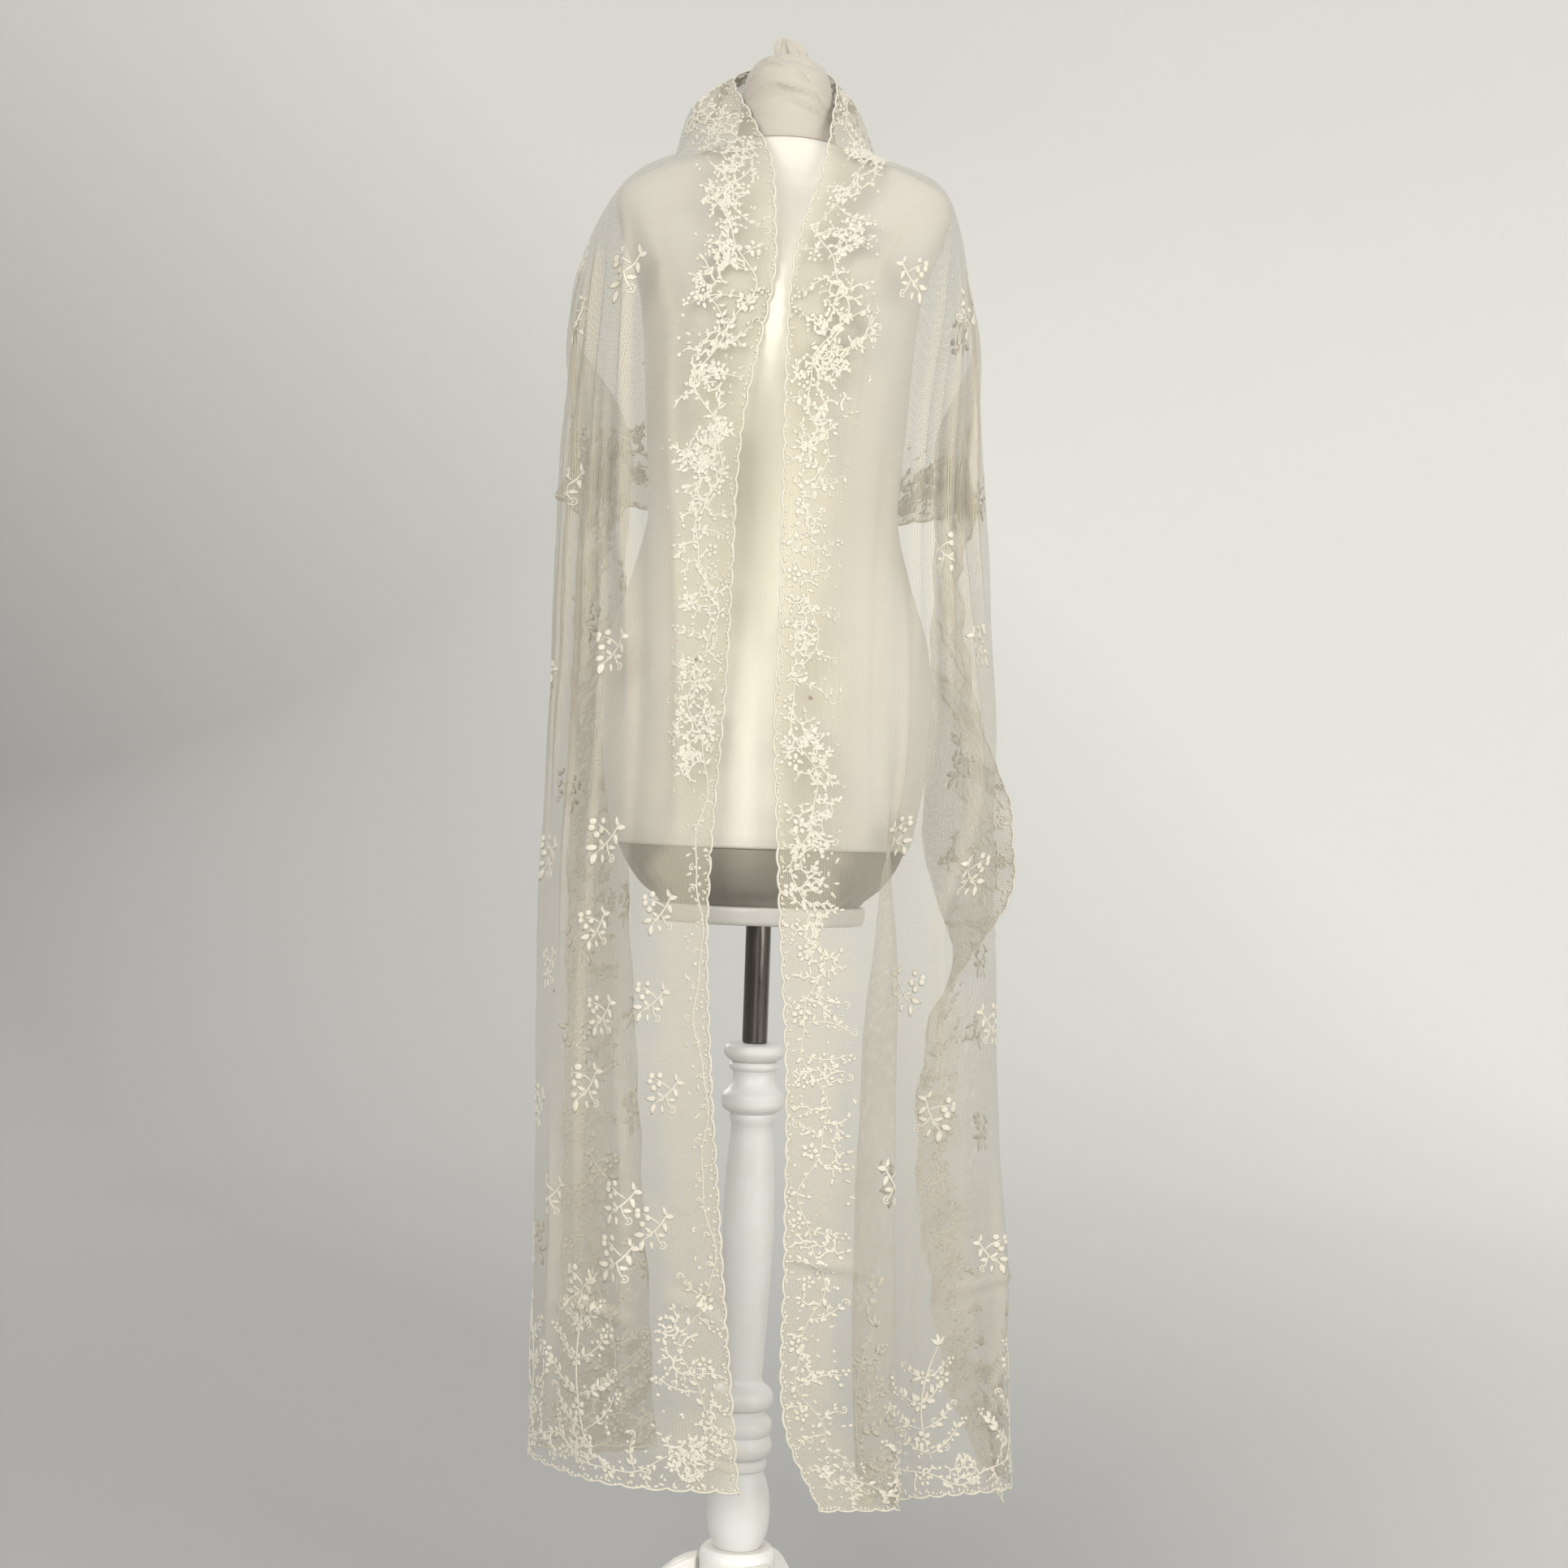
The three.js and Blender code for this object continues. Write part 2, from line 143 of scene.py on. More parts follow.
RIGHT = [
    row(75, (46, 14, 1648), (76, 60, 1566), (88, 96, 1534), (93, 122, 1412),
        (92, 124, 1313), (86, 118, 1212)),
    row(150, (45, -40, 1592), (98, 18, 1566), (146, 58, 1536), (174, 98, 1420),
        (176, 104, 1320), (168, 106, 1222)),
    row(205, (36, -72, 1537), (112, -34, 1552), (161, -2, 1535), (192, 44, 1432),
        (198, 62, 1333), (192, 92, 1234)),
    row(265, (19, -100, 1478), (110, -72, 1492), (161, -36, 1490), (195, 32, 1402),
        (186, 64, 1315), (208, 50, 1220)),
    row(330, (9, -121, 1418), (108, -98, 1428), (158, -62, 1425), (198, 22, 1376),
        (165, 72, 1300), (196, 104, 1200)),
    row(480, (8, -137, 1268), (105, -112), (158, -68), (211, 12), (167, 78), (200, 110)),
    row(640, (10, -138, 1108), (112, -114), (154, -84), (224, 8), (166, 84), (221, 70)),
    row(740, (8, -138, 1010), (112, -114), (140, -88), (230, 5), (164, 87), (250, 50)),
    row(850, (14, -138, 900), (122, -116), (122, -84), (232, 3), (170, 97), (247, 48)),
    row(960, (22, -138, 790), (135, -110), (112, -82), (236, 5), (205, 105), (182, 62)),
    row(1080, (31, -137, 670), (138, -108), (105, -80), (241, 5), (215, 110), (164, 68)),
    row(1250, (35, -136, 500), (143, -106), (104, -78), (253, 5), (225, 108), (180, 70)),
    row(1400, (40, -135, 350), (148, -105), (108, -80), (262, 2), (245, 105), (212, 70)),
    row(RIGHT_HEM, (78, -134, 268), (155, -104), (118, -85), (267, 0), (262, 92), (266, 60)),
]
ROWS = [(-along, points) for along, points in LEFT[::-1]] + [MIDDLE] + RIGHT

# Lines of the cloth's own grid, in millimetres along and across
ALONG_STEP = 4.9
ACROSS_STEP = 3.3
ALONG_LINES = np.linspace(-LEFT_HEM, RIGHT_HEM, round((LEFT_HEM + RIGHT_HEM) / ALONG_STEP) + 1)
ACROSS_LINES = np.linspace(0, WIDTH, round(WIDTH / ACROSS_STEP) + 1)
LINES = np.meshgrid(ALONG_LINES, ACROSS_LINES, indexing="ij")


def cubic(t, start, end, leaving, arriving):
    """The curve from start to end with these slopes at its ends, at shares t of the way."""
    return (start * (2 * t**3 - 3 * t**2 + 1) + leaving * (t**3 - 2 * t**2 + t)
            + end * (3 * t**2 - 2 * t**3) + arriving * (t**3 - t**2))


def held_points(at):
    """The six held points of the crossings at these places along, by a cubic through the rows."""
    stations = np.array([along for along, _ in ROWS], float)
    values = np.array([points for _, points in ROWS], float)
    slope = np.empty_like(values)
    slope[0] = (values[1] - values[0]) / (stations[1] - stations[0])
    slope[-1] = (values[-1] - values[-2]) / (stations[-1] - stations[-2])
    slope[1:-1] = (values[2:] - values[:-2]) / (stations[2:] - stations[:-2])[:, None, None]
    i = np.clip(np.searchsorted(stations, at) - 1, 0, len(stations) - 2)
    span = (stations[i + 1] - stations[i])[:, None, None]
    t = (at - stations[i])[:, None, None] / span
    return cubic(t, values[i], values[i + 1], slope[i] * span, slope[i + 1] * span)


def smooth_line(knots, per_span=24):
    """A smooth line through knots, with uneven spacing between them allowed for."""
    knots = np.asarray(knots, float)
    ends = np.vstack([2 * knots[0] - knots[1], knots, 2 * knots[-1] - knots[-2]])
    share = np.linspace(0, 1, per_span, endpoint=False)[:, None]
    parts = []
    for p0, p1, p2, p3 in zip(ends, ends[1:], ends[2:], ends[3:]):
        d0, d1, d2 = (np.linalg.norm(b - a) ** 0.5 for a, b in ((p0, p1), (p1, p2), (p2, p3)))
        into = ((p1 - p0) / d0 - (p2 - p0) / (d0 + d1) + (p2 - p1) / d1) * d1
        out = ((p2 - p1) / d1 - (p3 - p1) / (d1 + d2) + (p3 - p2) / d2) * d1
        parts.append(cubic(share, p1, p2, into, out))
    return np.vstack([*parts, knots[-1:]])


def crossing_points(knots, along):
    """Points of one crossing on the across lines, with the collar's roll."""
    line = smooth_line(knots)
    run = np.r_[0, np.cumsum(np.linalg.norm(np.diff(line, axis=0), axis=1))]
    at = ACROSS_LINES / WIDTH * run[-1]
    points = np.column_stack([np.interp(at, run, line[:, k]) for k in range(3)])
    if abs(along) < ROLL_REACH:
        share = np.clip(ACROSS_LINES / ACROSS["front"], 0, 1)
        roll = np.sin(share * math.pi) * math.cos(along / ROLL_REACH * math.pi / 2) ** 2
        outward = points[:, :2] / np.linalg.norm(points[:, :2], axis=1)[:, None]
        points[:, :2] += outward * roll[:, None] * ROLL_OUT
        points[:, 2] += roll * ROLL_UP
    return points


def grid_normals(points):
    lengthwise = np.gradient(points, axis=0)
    crosswise = np.gradient(points, axis=1)
    normals = np.cross(lengthwise, crosswise)
    return normals / np.linalg.norm(normals, axis=2)[:, :, None]


# Soft folds: the points that they run through, along + 1j * across, then half width and height
FOLDS = [
    # Fanning out from the left shoulder
    ((-228+168j, -400+140j, -640+122j), 5.6, 6.2),
    ((-232+184j, -450+172j, -790+176j), 6.2, 8.5),
    ((-236+200j, -480+212j, -860+226j), 5.6, 9.3),
    ((-240+218j, -440+244j, -700+258j), 5.0, 7.0),
    ((-246+244j, -400+300j, -560+330j), 6.2, 7.8),
    ((-280+192j, -600+196j, -900+200j), 5.0, -5.4),
    ((-262+176j, -520+152j, -990+136j), 5.0, 6.5),
    ((-262+206j, -560+190j, -1080+180j), 5.0, 7.0),
    ((-268+230j, -600+240j, -1150+250j), 5.0, 6.0),
    ((-270+160j, -460+128j, -760+108j), 5.0, 6.0),
    # Down the left front, from the shoulder to beside the border
    ((-262+146j, -380+92j, -560+62j, -880+40j), 6.8, 7.8),
    ((-420+112j, -700+96j, -1010+84j), 8.7, -6.2),
    ((-760+150j, -1000+146j, -1300+154j), 7.4, 7.0),
    ((-980+100j, -1200+96j, -1430+104j), 8.1, 6.2),
    ((-1080+196j, -1260+190j, -1470+204j), 7.4, 7.8),
    # Fanning out from the right shoulder
    ((226+160j, 262+112j, 345+78j, 520+66j), 5.6, 7.0),
    ((232+178j, 420+160j, 700+150j), 5.0, 7.0),
    ((236+196j, 430+206j, 760+196j), 5.6, 8.5),
    ((240+214j, 400+246j, 640+262j), 5.0, 7.8),
    ((246+240j, 380+300j, 520+344j), 6.2, 7.0),
    ((262+186j, 500+178j, 880+172j), 5.0, 6.5),
    ((266+212j, 560+228j, 900+240j), 5.0, 6.5),
    # Down the right front and its doubled fold
    ((430+118j, 640+104j, 900+92j), 8.1, -6.2),
    ((560+132j, 800+138j, 1090+136j), 5.0, 6.2),
    ((700+226j, 900+236j, 1240+250j), 7.4, 7.8),
    ((1000+60j, 1200+66j, 1440+58j), 8.1, 6.2),
    ((1060+214j, 1280+222j, 1490+216j), 6.2, -6.2),
    ((1120+300j, 1300+320j, 1490+310j), 8.7, 7.8),
    # Down the back, between the shoulders
    ((-182+230j, -176+350j, -190+490j), 12, 5.5),
    ((-128+250j, -134+370j, -122+490j), 15, -5.0),
    ((-74+200j, -80+350j, -64+490j), 11, 6.5),
    ((-18+240j, -14+380j, -26+490j), 14, -4.5),
    ((36+210j, 30+350j, 44+490j), 12, 6.0),
    ((92+260j, 98+380j, 86+490j), 14, -5.0),
    ((146+230j, 150+360j, 160+490j), 11, 6.0),
    ((206+300j, 214+400j, 206+490j), 12, 5.0),
    # The folded back parts of both falls
    ((-420+330j, -700+352j, -1100+338j), 14, 5.0),
    ((-520+430j, -820+436j, -1200+424j), 12, -5.0),
    ((-900+300j, -1200+296j, -1460+306j), 11, 4.5),
    ((430+330j, 620+350j, 800+342j), 13, 5.0),
    ((500+440j, 700+446j, 900+430j), 12, 4.5),
    ((940+400j, 1180+412j, 1450+398j), 14, 5.0),
    # The collar's rounded sides
    ((-150+62j, -96+52j, -40+44j), 30, 9.0),
    ((150+62j, 98+52j, 44+44j), 26, 7.0),
    # Puckers round the standing collar
    ((-96+26j, -90+60j, -104+104j), 6, 2.6),
    ((-58+14j, -50+50j, -56+92j), 7, 3.0),
    ((-12+20j, -16+62j, -8+110j), 7, 2.4),
    ((30+12j, 38+54j, 30+98j), 6, 3.0),
    ((70+22j, 66+58j, 78+100j), 7, 2.6),
]

# Creases from lying folded, given in the same way, narrower and sharper
CREASES = [
    ((-1326+196j, -1314+150j, -1324+84j), 5.0, 6.0),
    ((-1317+196j, -1305+150j, -1315+84j), 5.0, -4.0),
    ((-1302+56j, -1309+22j, -1330+2j), 5.0, 6.0),
    ((-1293+56j, -1300+22j, -1321+2j), 5.0, -4.0),
    ((-1240+470j, -1252+400j, -1238+330j), 4.5, 2.2),
    ((1243+2j, 1252+34j, 1258+74j), 5.0, 6.5),
    ((1252+2j, 1261+34j, 1267+74j), 5.0, -4.0),
    ((1298+236j, 1292+280j, 1283+330j), 5.0, 6.0),
    ((1307+236j, 1301+280j, 1292+330j), 5.0, -4.0),
    ((1262+350j, 1274+410j, 1260+480j), 4.5, 2.2),
    ((-640+12j, -646+60j, -638+118j), 4.5, 1.6),
    ((636+22j, 642+70j, 634+122j), 4.5, 1.6),
    ((-960+240j, -968+310j, -958+380j), 4.5, 1.8),
    ((930+250j, 938+320j, 926+380j), 4.5, 1.8),
    ((-6+190j, 2+300j, -4+420j), 4.5, 1.6),
]

# The wave of the free edge: its height and pitch, where across the shawl it begins, how far along from
# the middle it is full, and its share beyond
WAVE_HEIGHT = 6.5
WAVE_PITCH = 86
WAVE_FROM = 320
WAVE_FULL = 420
WAVE_REST = 0.55

# Height of the cloth's slight unevenness
UNEVEN = 0.9

# Where the cloth lies on the form, so that it only lifts there
RESTS_ALONG = 300
RESTS_ACROSS = 270

# How far inside the held points' surface the cloth lies, so that it rests on the shoulders and chest
SEAT = 2.4


def fold_lift(flat, points, half_width, height):
    """How far a fold lifts the cloth: full at its middle, and fading at its sides and ends."""
    legs = np.abs(np.diff(points))
    starts = np.r_[0, np.cumsum(legs)]
    nearest = np.full(flat.shape, np.inf)
    share = np.zeros(flat.shape)
    for a, b, leg, start in zip(points, points[1:], legs, starts):
        t = np.clip(((flat - a) * (b - a).conjugate()).real / leg**2, 0, 1)
        away = np.abs(flat - a - t * (b - a))
        closer = away < nearest
        nearest = np.where(closer, away, nearest)
        share = np.where(closer, (start + t * leg) / starts[-1], share)
    return height * np.exp(-((nearest / half_width) ** 2)) * np.sin(math.pi * share) ** 0.6


def relief(along, across):
    """How far folds, creases, the free edge's wave and a slight unevenness move the cloth outwards."""
    lift = sum(fold_lift(along + 1j * across, *fold) for fold in FOLDS + CREASES)
    ramp = np.clip((across - WAVE_FROM) / (WIDTH - WAVE_FROM), 0, 1) ** 1.5
    phase = 2 * math.pi * (along + 20 * np.sin(along / 97)) / WAVE_PITCH
    lift += WAVE_HEIGHT * ramp * np.sin(phase) * np.where(np.abs(along) < WAVE_FULL, 1, WAVE_REST)
    lift += UNEVEN * np.sin(along / 29 + 1.4 * np.sin(across / 61)) * np.sin(across / 23 + along / 140)
    resting = (np.abs(along) < RESTS_ALONG) & (across < RESTS_ACROSS)
    return np.where(resting, np.maximum(lift, 0), lift)


class Cloth:
    """The shawl as it hangs, as a grid of points in metres, which any flat place is carried onto."""

    def __init__(self):
        held = held_points(ALONG_LINES)
        points = np.array([crossing_points(*pair) for pair in zip(held, ALONG_LINES)])
        lift = relief(*LINES)
        points = points + grid_normals(points) * (lift - SEAT)[:, :, None]
        self.steep = np.hypot(*np.gradient(lift, ALONG_LINES, ACROSS_LINES))
        self.normals = grid_normals(points)
        self.points = (points + (AXIS_X, 0, 0)) * MM

    def lay(self, flat, lift=0):
        """Carries flat places, each along + 1j * across, onto the cloth, moved out by lift."""
        flat = np.asarray(flat)
        i = (flat.real - ALONG_LINES[0]) / (ALONG_LINES[1] - ALONG_LINES[0])
        j = flat.imag / (ACROSS_LINES[1] - ACROSS_LINES[0])
        i0 = np.clip(np.floor(i).astype(int), 0, len(ALONG_LINES) - 2)
        j0 = np.clip(np.floor(j).astype(int), 0, len(ACROSS_LINES) - 2)
        u = (i - i0)[:, None]
        w = (j - j0)[:, None]

        def mix(table):
            return ((table[i0, j0] * (1 - u) + table[i0 + 1, j0] * u) * (1 - w)
                    + (table[i0, j0 + 1] * (1 - u) + table[i0 + 1, j0 + 1] * u) * w)

        normal = mix(self.normals)
        normal /= np.linalg.norm(normal, axis=1)[:, None]
        return mix(self.points) + normal * (np.broadcast_to(lift, flat.shape) * MM)[:, None]


cloth = Cloth()

# The scalloped edge: the pitch of its lobes, how deep the notches between them are, and how far in the
# net follows them
SCALLOP_PITCH = 21
SCALLOP_DEPTH = 3.4
EDGE_REACH = 22


def scallop(run):
    """How far inside the outermost line the edge lies, at this run along it."""
    return SCALLOP_DEPTH * (1 - np.sqrt(np.abs(np.sin(math.pi * run / SCALLOP_PITCH))))


def grid_faces(rows, columns, closed=True, ring=False, flip=False):
    """Quads between rows of points: closed joins each row's ends, and ring the last row to the first."""
    faces = []
    for r in range(rows if ring else rows - 1):
        here = r * columns
        there = (r + 1) % rows * columns
        for k in range(columns if closed else columns - 1):
            after = (k + 1) % columns
            face = (here + k, here + after, there + after, there + k)
            faces.append(face[:1] + face[:0:-1] if flip else face)
    return faces


def mesh_object(name, points, faces, material, uv=None):
    """A smooth mesh object from points in metres; uv holds one pair for each point."""
    mesh = bpy.data.meshes.new(name)
    mesh.from_pydata([tuple(p) for p in points], [], faces)
    mesh.shade_smooth()
    if uv is not None:
        corner = np.empty(len(mesh.loops), int)
        mesh.loops.foreach_get("vertex_index", corner)
        layer = mesh.uv_layers.new(name="flat")
        layer.data.foreach_set("uv", np.asarray(uv, float)[corner].ravel())
    mesh.materials.append(material)
    return add_object(name, mesh)


def new_object(name, points, faces, material, uv=None):
    """A mesh object that is a piece of the object itself."""
    obj = mesh_object(name, points, faces, material, uv)
    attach(obj, "root")
    return obj


def net_mesh(material):
    """The whole net as one fine open mesh, its four edges cut in scallops."""
    s, v = LINES
    near_inner, near_outer, near_left, near_right = (
        np.clip(1 - inside / EDGE_REACH, 0, 1) for inside in (v, WIDTH - v, s + LEFT_HEM, RIGHT_HEM - s)
    )
    across = v + scallop(s) * (near_inner - near_outer)
    along = s + scallop(v) * (near_left - near_right)
    flat = (along + 1j * across).ravel()
    faces = grid_faces(*s.shape, closed=False, flip=True)
    uv = np.column_stack([flat.real, flat.imag]) * MM
    net = new_object("shawl_net", cloth.lay(flat), faces, material, uv)
    # The steepness of the folds, which the net's material turns into thicker, warmer threads: partly
    # gathered net, partly painted fold shade.
    gathered_and_painted_shade = net.data.attributes.new("gathered_and_painted_shade", "FLOAT", "POINT")
    gathered_and_painted_shade.data.foreach_set("value", cloth.steep.ravel())
    return net


# A thread's section, as shares of its half width and height: raised on the outer side of the net
THREAD_SECTION = ((1, 0), (0.55, 1), (-0.55, 1), (-1, 0), (0, -0.6))

# Widths of threads, how high thread work rises, and a flower's petals
STEM = 1.7
TWIG = 1.3
CORD = 2.3
THREAD_RISE = 0.7
DOT_RISE = 1.35
PETALS = 5

# How far inside the net's edges its motifs stay
MARGIN = 4


def on_net(flat, margin):
    """Whether each flat place lies on the net, at least margin inside its edges."""
    along = (flat.real > -LEFT_HEM + margin) & (flat.real < RIGHT_HEM - margin)
    return along & (flat.imag > margin) & (flat.imag < WIDTH - margin)


class Work:
    """Thread work on the net, gathered as closed bodies in flat places and laid on the cloth last."""

    def __init__(self):
        self.flat = []
        self.lift = []
        self.uv = []
        self.faces = []
        self.count = 0

    def add(self, flat, lift, uv, faces):
        flat = np.asarray(flat)
        self.flat.append(flat)
        self.lift.append(np.broadcast_to(lift, flat.shape))
        self.uv.append(uv)
        self.faces += [tuple(self.count + k for k in face) for face in faces]
        self.count += len(flat)

    def stroke(self, put, path, width, rise=THREAD_RISE, blunt=False, margin=MARGIN):
        """A raised thread along a path, thinning at both ends, and cut where it would leave the net."""
        path = put(np.asarray(path, complex))
        outside = np.flatnonzero(~on_net(path, margin))
        if len(outside):
            path = path[:outside[0]]
        if len(path) < 3:
            return
        step = np.gradient(path)
        side = 1j * step / np.abs(step)
        share = np.linspace(0, 1, len(path))
        swell = np.ones(len(path)) if blunt else 0.35 + 0.65 * np.sin(math.pi * share) ** 0.5
        run = np.r_[0, np.cumsum(np.abs(np.diff(path)))]
        m = len(THREAD_SECTION)
        flat = np.concatenate([path + side * (x * width / 2) * swell for x, _ in THREAD_SECTION])
        lift = np.concatenate([np.full(len(path), y * rise) for _, y in THREAD_SECTION])
        uv = np.column_stack([np.tile(run, m), np.repeat(np.arange(m) * width / 3, len(path))])
        n = len(path)
        faces = grid_faces(m, n, closed=False, ring=True, flip=True)
        faces.append(tuple(k * n for k in reversed(range(m))))
        faces.append(tuple(k * n + n - 1 for k in range(m)))
        self.add(flat, lift, uv, faces)

    def pad(self, put, outline, rise=THREAD_RISE, margin=MARGIN):
        """A filled shape, worked over and over: crowned on the outer side, nearly flat behind."""
        outline = put(np.asarray(outline, complex))
        if not on_net(outline, margin).all():
            return
        n = len(outline)
        turning = np.sum((np.conj(outline) * np.roll(outline, -1)).imag)
        if turning > 0:
            outline = outline[::-1]
        centre = outline.mean()
        flat = np.concatenate([outline, centre + (outline - centre) * 0.62, [centre, centre]])
        lift = np.r_[np.zeros(n), np.full(n, rise * 0.85), rise, -rise * 0.55]
        uv = np.column_stack([flat.real, flat.imag])
        faces = []
        for k in range(n):
            nxt = (k + 1) % n
            faces.append((k, k + n, nxt + n, nxt))
            faces.append((k + n, 2 * n, nxt + n))
            faces.append((k, nxt, 2 * n + 1))
        self.add(flat, lift, uv, faces)

    def finish(self, name, material):
        flat = np.concatenate(self.flat)
        points = cloth.lay(flat, np.concatenate(self.lift))
        uv = np.concatenate(self.uv) * MM
        return new_object(name, points, self.faces, material, uv)


def circle(count):
    """Angles all round a circle, evenly spaced."""
    return np.arange(count) * 2 * math.pi / count


def toward(turn):
    """A step of one in a direction."""
    return complex(math.cos(turn), math.sin(turn))


def placed(put, origin, turn=0.0, size=1.0, flip=False):
    """The placing of a motif: its own x + 1j * y turned, sized and set at origin inside put."""
    spin = size * toward(turn)
    if flip:
        return lambda z: put(origin + np.conj(z) * spin)
    return lambda z: put(origin + z * spin)


def leaf(work, put, base, turn, length, width, bend=0.15, margin=MARGIN):
    """A pointed leaf from its base, bent a little to one side."""
    share = np.array([0.0, 0.26, 0.66, 1.0])
    half = np.array([0.14, 0.48, 0.44, 0.08]) * width
    spine = share * length + 1j * bend * length * share**2
    outline = np.concatenate([spine - 1j * half, (spine + 1j * half)[::-1]])
    work.pad(placed(put, base, turn), outline, margin=margin)


def dot(work, put, centre, radius, sides=8, margin=MARGIN):
    work.pad(put, centre + radius * np.exp(1j * circle(sides)), THREAD_RISE * DOT_RISE, margin)


def curve(start, lean, end, count=9):
    """A quadratic curve from start to end, drawn towards lean."""
    t = np.linspace(0, 1, count)
    return start * (1 - t) ** 2 + 2 * lean * t * (1 - t) + end * t**2


def flower(work, put, centre, radius):
    """Open petals round a small raised eye."""
    for k in range(PETALS):
        angle = 0.3 + k * 2 * math.pi / PETALS
        base = centre + 0.3 * radius * np.exp(1j * angle)
        leaf(work, put, base, angle, radius * 0.85, radius * 0.72, bend=0.0)
    dot(work, put, centre, radius * 0.22, sides=6)


def curled(work, put, base, turn, size):
    """A bud that curls over, made of one bent thread and a filled heart."""
    angle = np.linspace(0, 1.45 * math.pi, 9)
    hook = size * (0.5 - 0.5 * np.exp(1j * angle) * (1 - 0.28 * angle / angle[-1]))
    work.stroke(placed(put, base, turn), hook, STEM, blunt=True)
    dot(work, placed(put, base, turn), size * 0.52, size * 0.2, sides=6)


# A sprig's leaves: base, turn, length, width and bend
SPRIG_LEAVES = (
    (7 + 9j, 1.25, 12, 6.6), (12 + 10j, 0.35, 12.5, 6.4, -0.15), (-11 - 10j, -1.9, 10, 6.0),
    (-6 - 8j, -0.7, 11, 6.0, 0.25), (-13 - 11j, 2.7, 9, 4.4), (5 + 2j, 2.0, 9, 4.6),
    (6 - 3j, -1.3, 9, 5.4, -0.2), (13 + 3j, -0.4, 9, 4.4),
)


def sprig(work, put, rng):
    """One scattered sprig: round berries on a bent twig, a pair of leaves and two curled buds."""
    work.stroke(put, curve(-17 - 13j, -2 - 9j, 15 + 13j, 12), STEM + 0.5)
    work.stroke(put, curve(-4 - 5j, -9 + 1j, -13 + 12j), TWIG + 0.5)
    work.stroke(put, curve(1 - 1j, 10 - 3j, 16 - 9j), TWIG + 0.5)
    for berry in (-17 + 8j, -10 + 17j, -3 + 12j, -15 + 17j, -8 + 7j):
        jitter = complex(rng.uniform(-0.8, 0.8), rng.uniform(-0.8, 0.8))
        dot(work, put, berry + jitter, rng.uniform(3.4, 4.0))
    for shape in SPRIG_LEAVES:
        leaf(work, put, *shape)
    curled(work, put, 13 - 7j, -0.5, 7.5)
    curled(work, put, 3 + 4j, 0.2, 6.5)


def coral(work, put, size, rng):
    """A growth of short thick twigs that fork and fork again, ending in small leaves and knots."""
    twigs = [(0j, rng.uniform(-0.3, 0.3), 3.0)]
    for base, turn, width in twigs:
        tip = base + rng.uniform(5.5, 9) * toward(turn)
        lean = (base + tip) / 2 + (tip - base) * 1j * rng.uniform(-0.3, 0.3)
        work.stroke(put, curve(base, lean, tip, 4), width, rise=0.85, blunt=True)
        if rng.random() < 0.35:
            stub = turn + rng.choice((-1, 1)) * rng.uniform(0.9, 1.5)
            leaf(work, put, (base + tip) / 2, stub, rng.uniform(3.5, 6), 3.2)
        if abs(tip) < size * 0.8 and width > 2.1:
            for sign in (-1, 1):
                fork = tip + (base - tip) * rng.uniform(0, 0.4)
                if rng.random() < 0.72:
                    twigs.append((fork, turn + sign * rng.uniform(0.35, 1.2), width - 0.2))
        if rng.random() < 0.4:
            leaf(work, put, tip, turn + rng.uniform(-0.6, 0.6), rng.uniform(5, 7.5), 4.2)
        elif rng.random() < 0.6:
            dot(work, put, tip, rng.uniform(1.9, 3.0), sides=6)


def branch(work, put, length, rng, leaf_length=7.5, tip="dots"):
    """A curving branch with leaves on both sides and a tip of dots, a curled bud or a flower."""
    path = curve(0j, length * (0.55 + 0.28j), complex(length, length * 0.1), 13)
    work.stroke(put, path, STEM)
    pairs = max(2, round(length / 9.5))
    for k in range(pairs):
        share = (k + 0.7) / (pairs + 0.6)
        at = path[round(share * 12)]
        ahead = path[min(12, round(share * 12) + 1)] - path[max(0, round(share * 12) - 1)]
        heading = math.atan2(ahead.imag, ahead.real)
        for sign in (1, -1):
            size = leaf_length * rng.uniform(0.65, 1.25) * (1.1 - 0.35 * share)
            turn = heading + sign * rng.uniform(0.5, 1.3)
            chance = rng.random()
            if chance < 0.68:
                leaf(work, put, at, turn, size, size * rng.uniform(0.5, 0.68), bend=-0.2 * sign)
            elif chance < 0.84:
                dot(work, put, at + 0.75 * size * toward(turn), rng.uniform(1.7, 2.4), sides=6)
            elif chance < 0.94:
                curled(work, put, at, turn, size * 0.8)
    end = path[-1]
    if tip == "dots":
        for step in (3 + 1j, 1 + 5j, 6 + 4j):
            dot(work, put, end + step, rng.uniform(1.9, 2.4), sides=6)
    elif tip == "curl":
        curled(work, put, end, 0.3, 7)
    else:
        flower(work, put, end + 5, 7.5)


def spray(work, put, height, rng):
    """A tall spray: a main stalk with branches, flowers up its middle and berries between."""
    stalk = curve(0j, complex(height * 0.5, height * 0.2), complex(height, -height * 0.05), 24)
    work.stroke(put, stalk, STEM + 0.5)
    for k in range(4):
        share = 0.1 + 0.21 * k
        at = stalk[round(share * 23)]
        reach = height * (0.38 - 0.055 * k)
        for sign in (1, -1):
            turn = sign * rng.uniform(0.62, 0.95)
            tip = ("dots", "curl", "flower")[(k + (sign > 0)) % 3]
            where = placed(put, at, turn, flip=sign < 0)
            branch(work, where, reach * rng.uniform(0.85, 1.1), rng, leaf_length=9.5, tip=tip)
    for share, radius in ((0.2, 9.0), (0.5, 8.0), (0.76, 7.0)):
        flower(work, put, stalk[round(share * 23)] + 2j, radius)
    for turn, length, width in ((0, 13, 5), (0.7, 11, 4.4), (-0.7, 11, 4.4)):
        leaf(work, put, stalk[-1], turn, length, width)


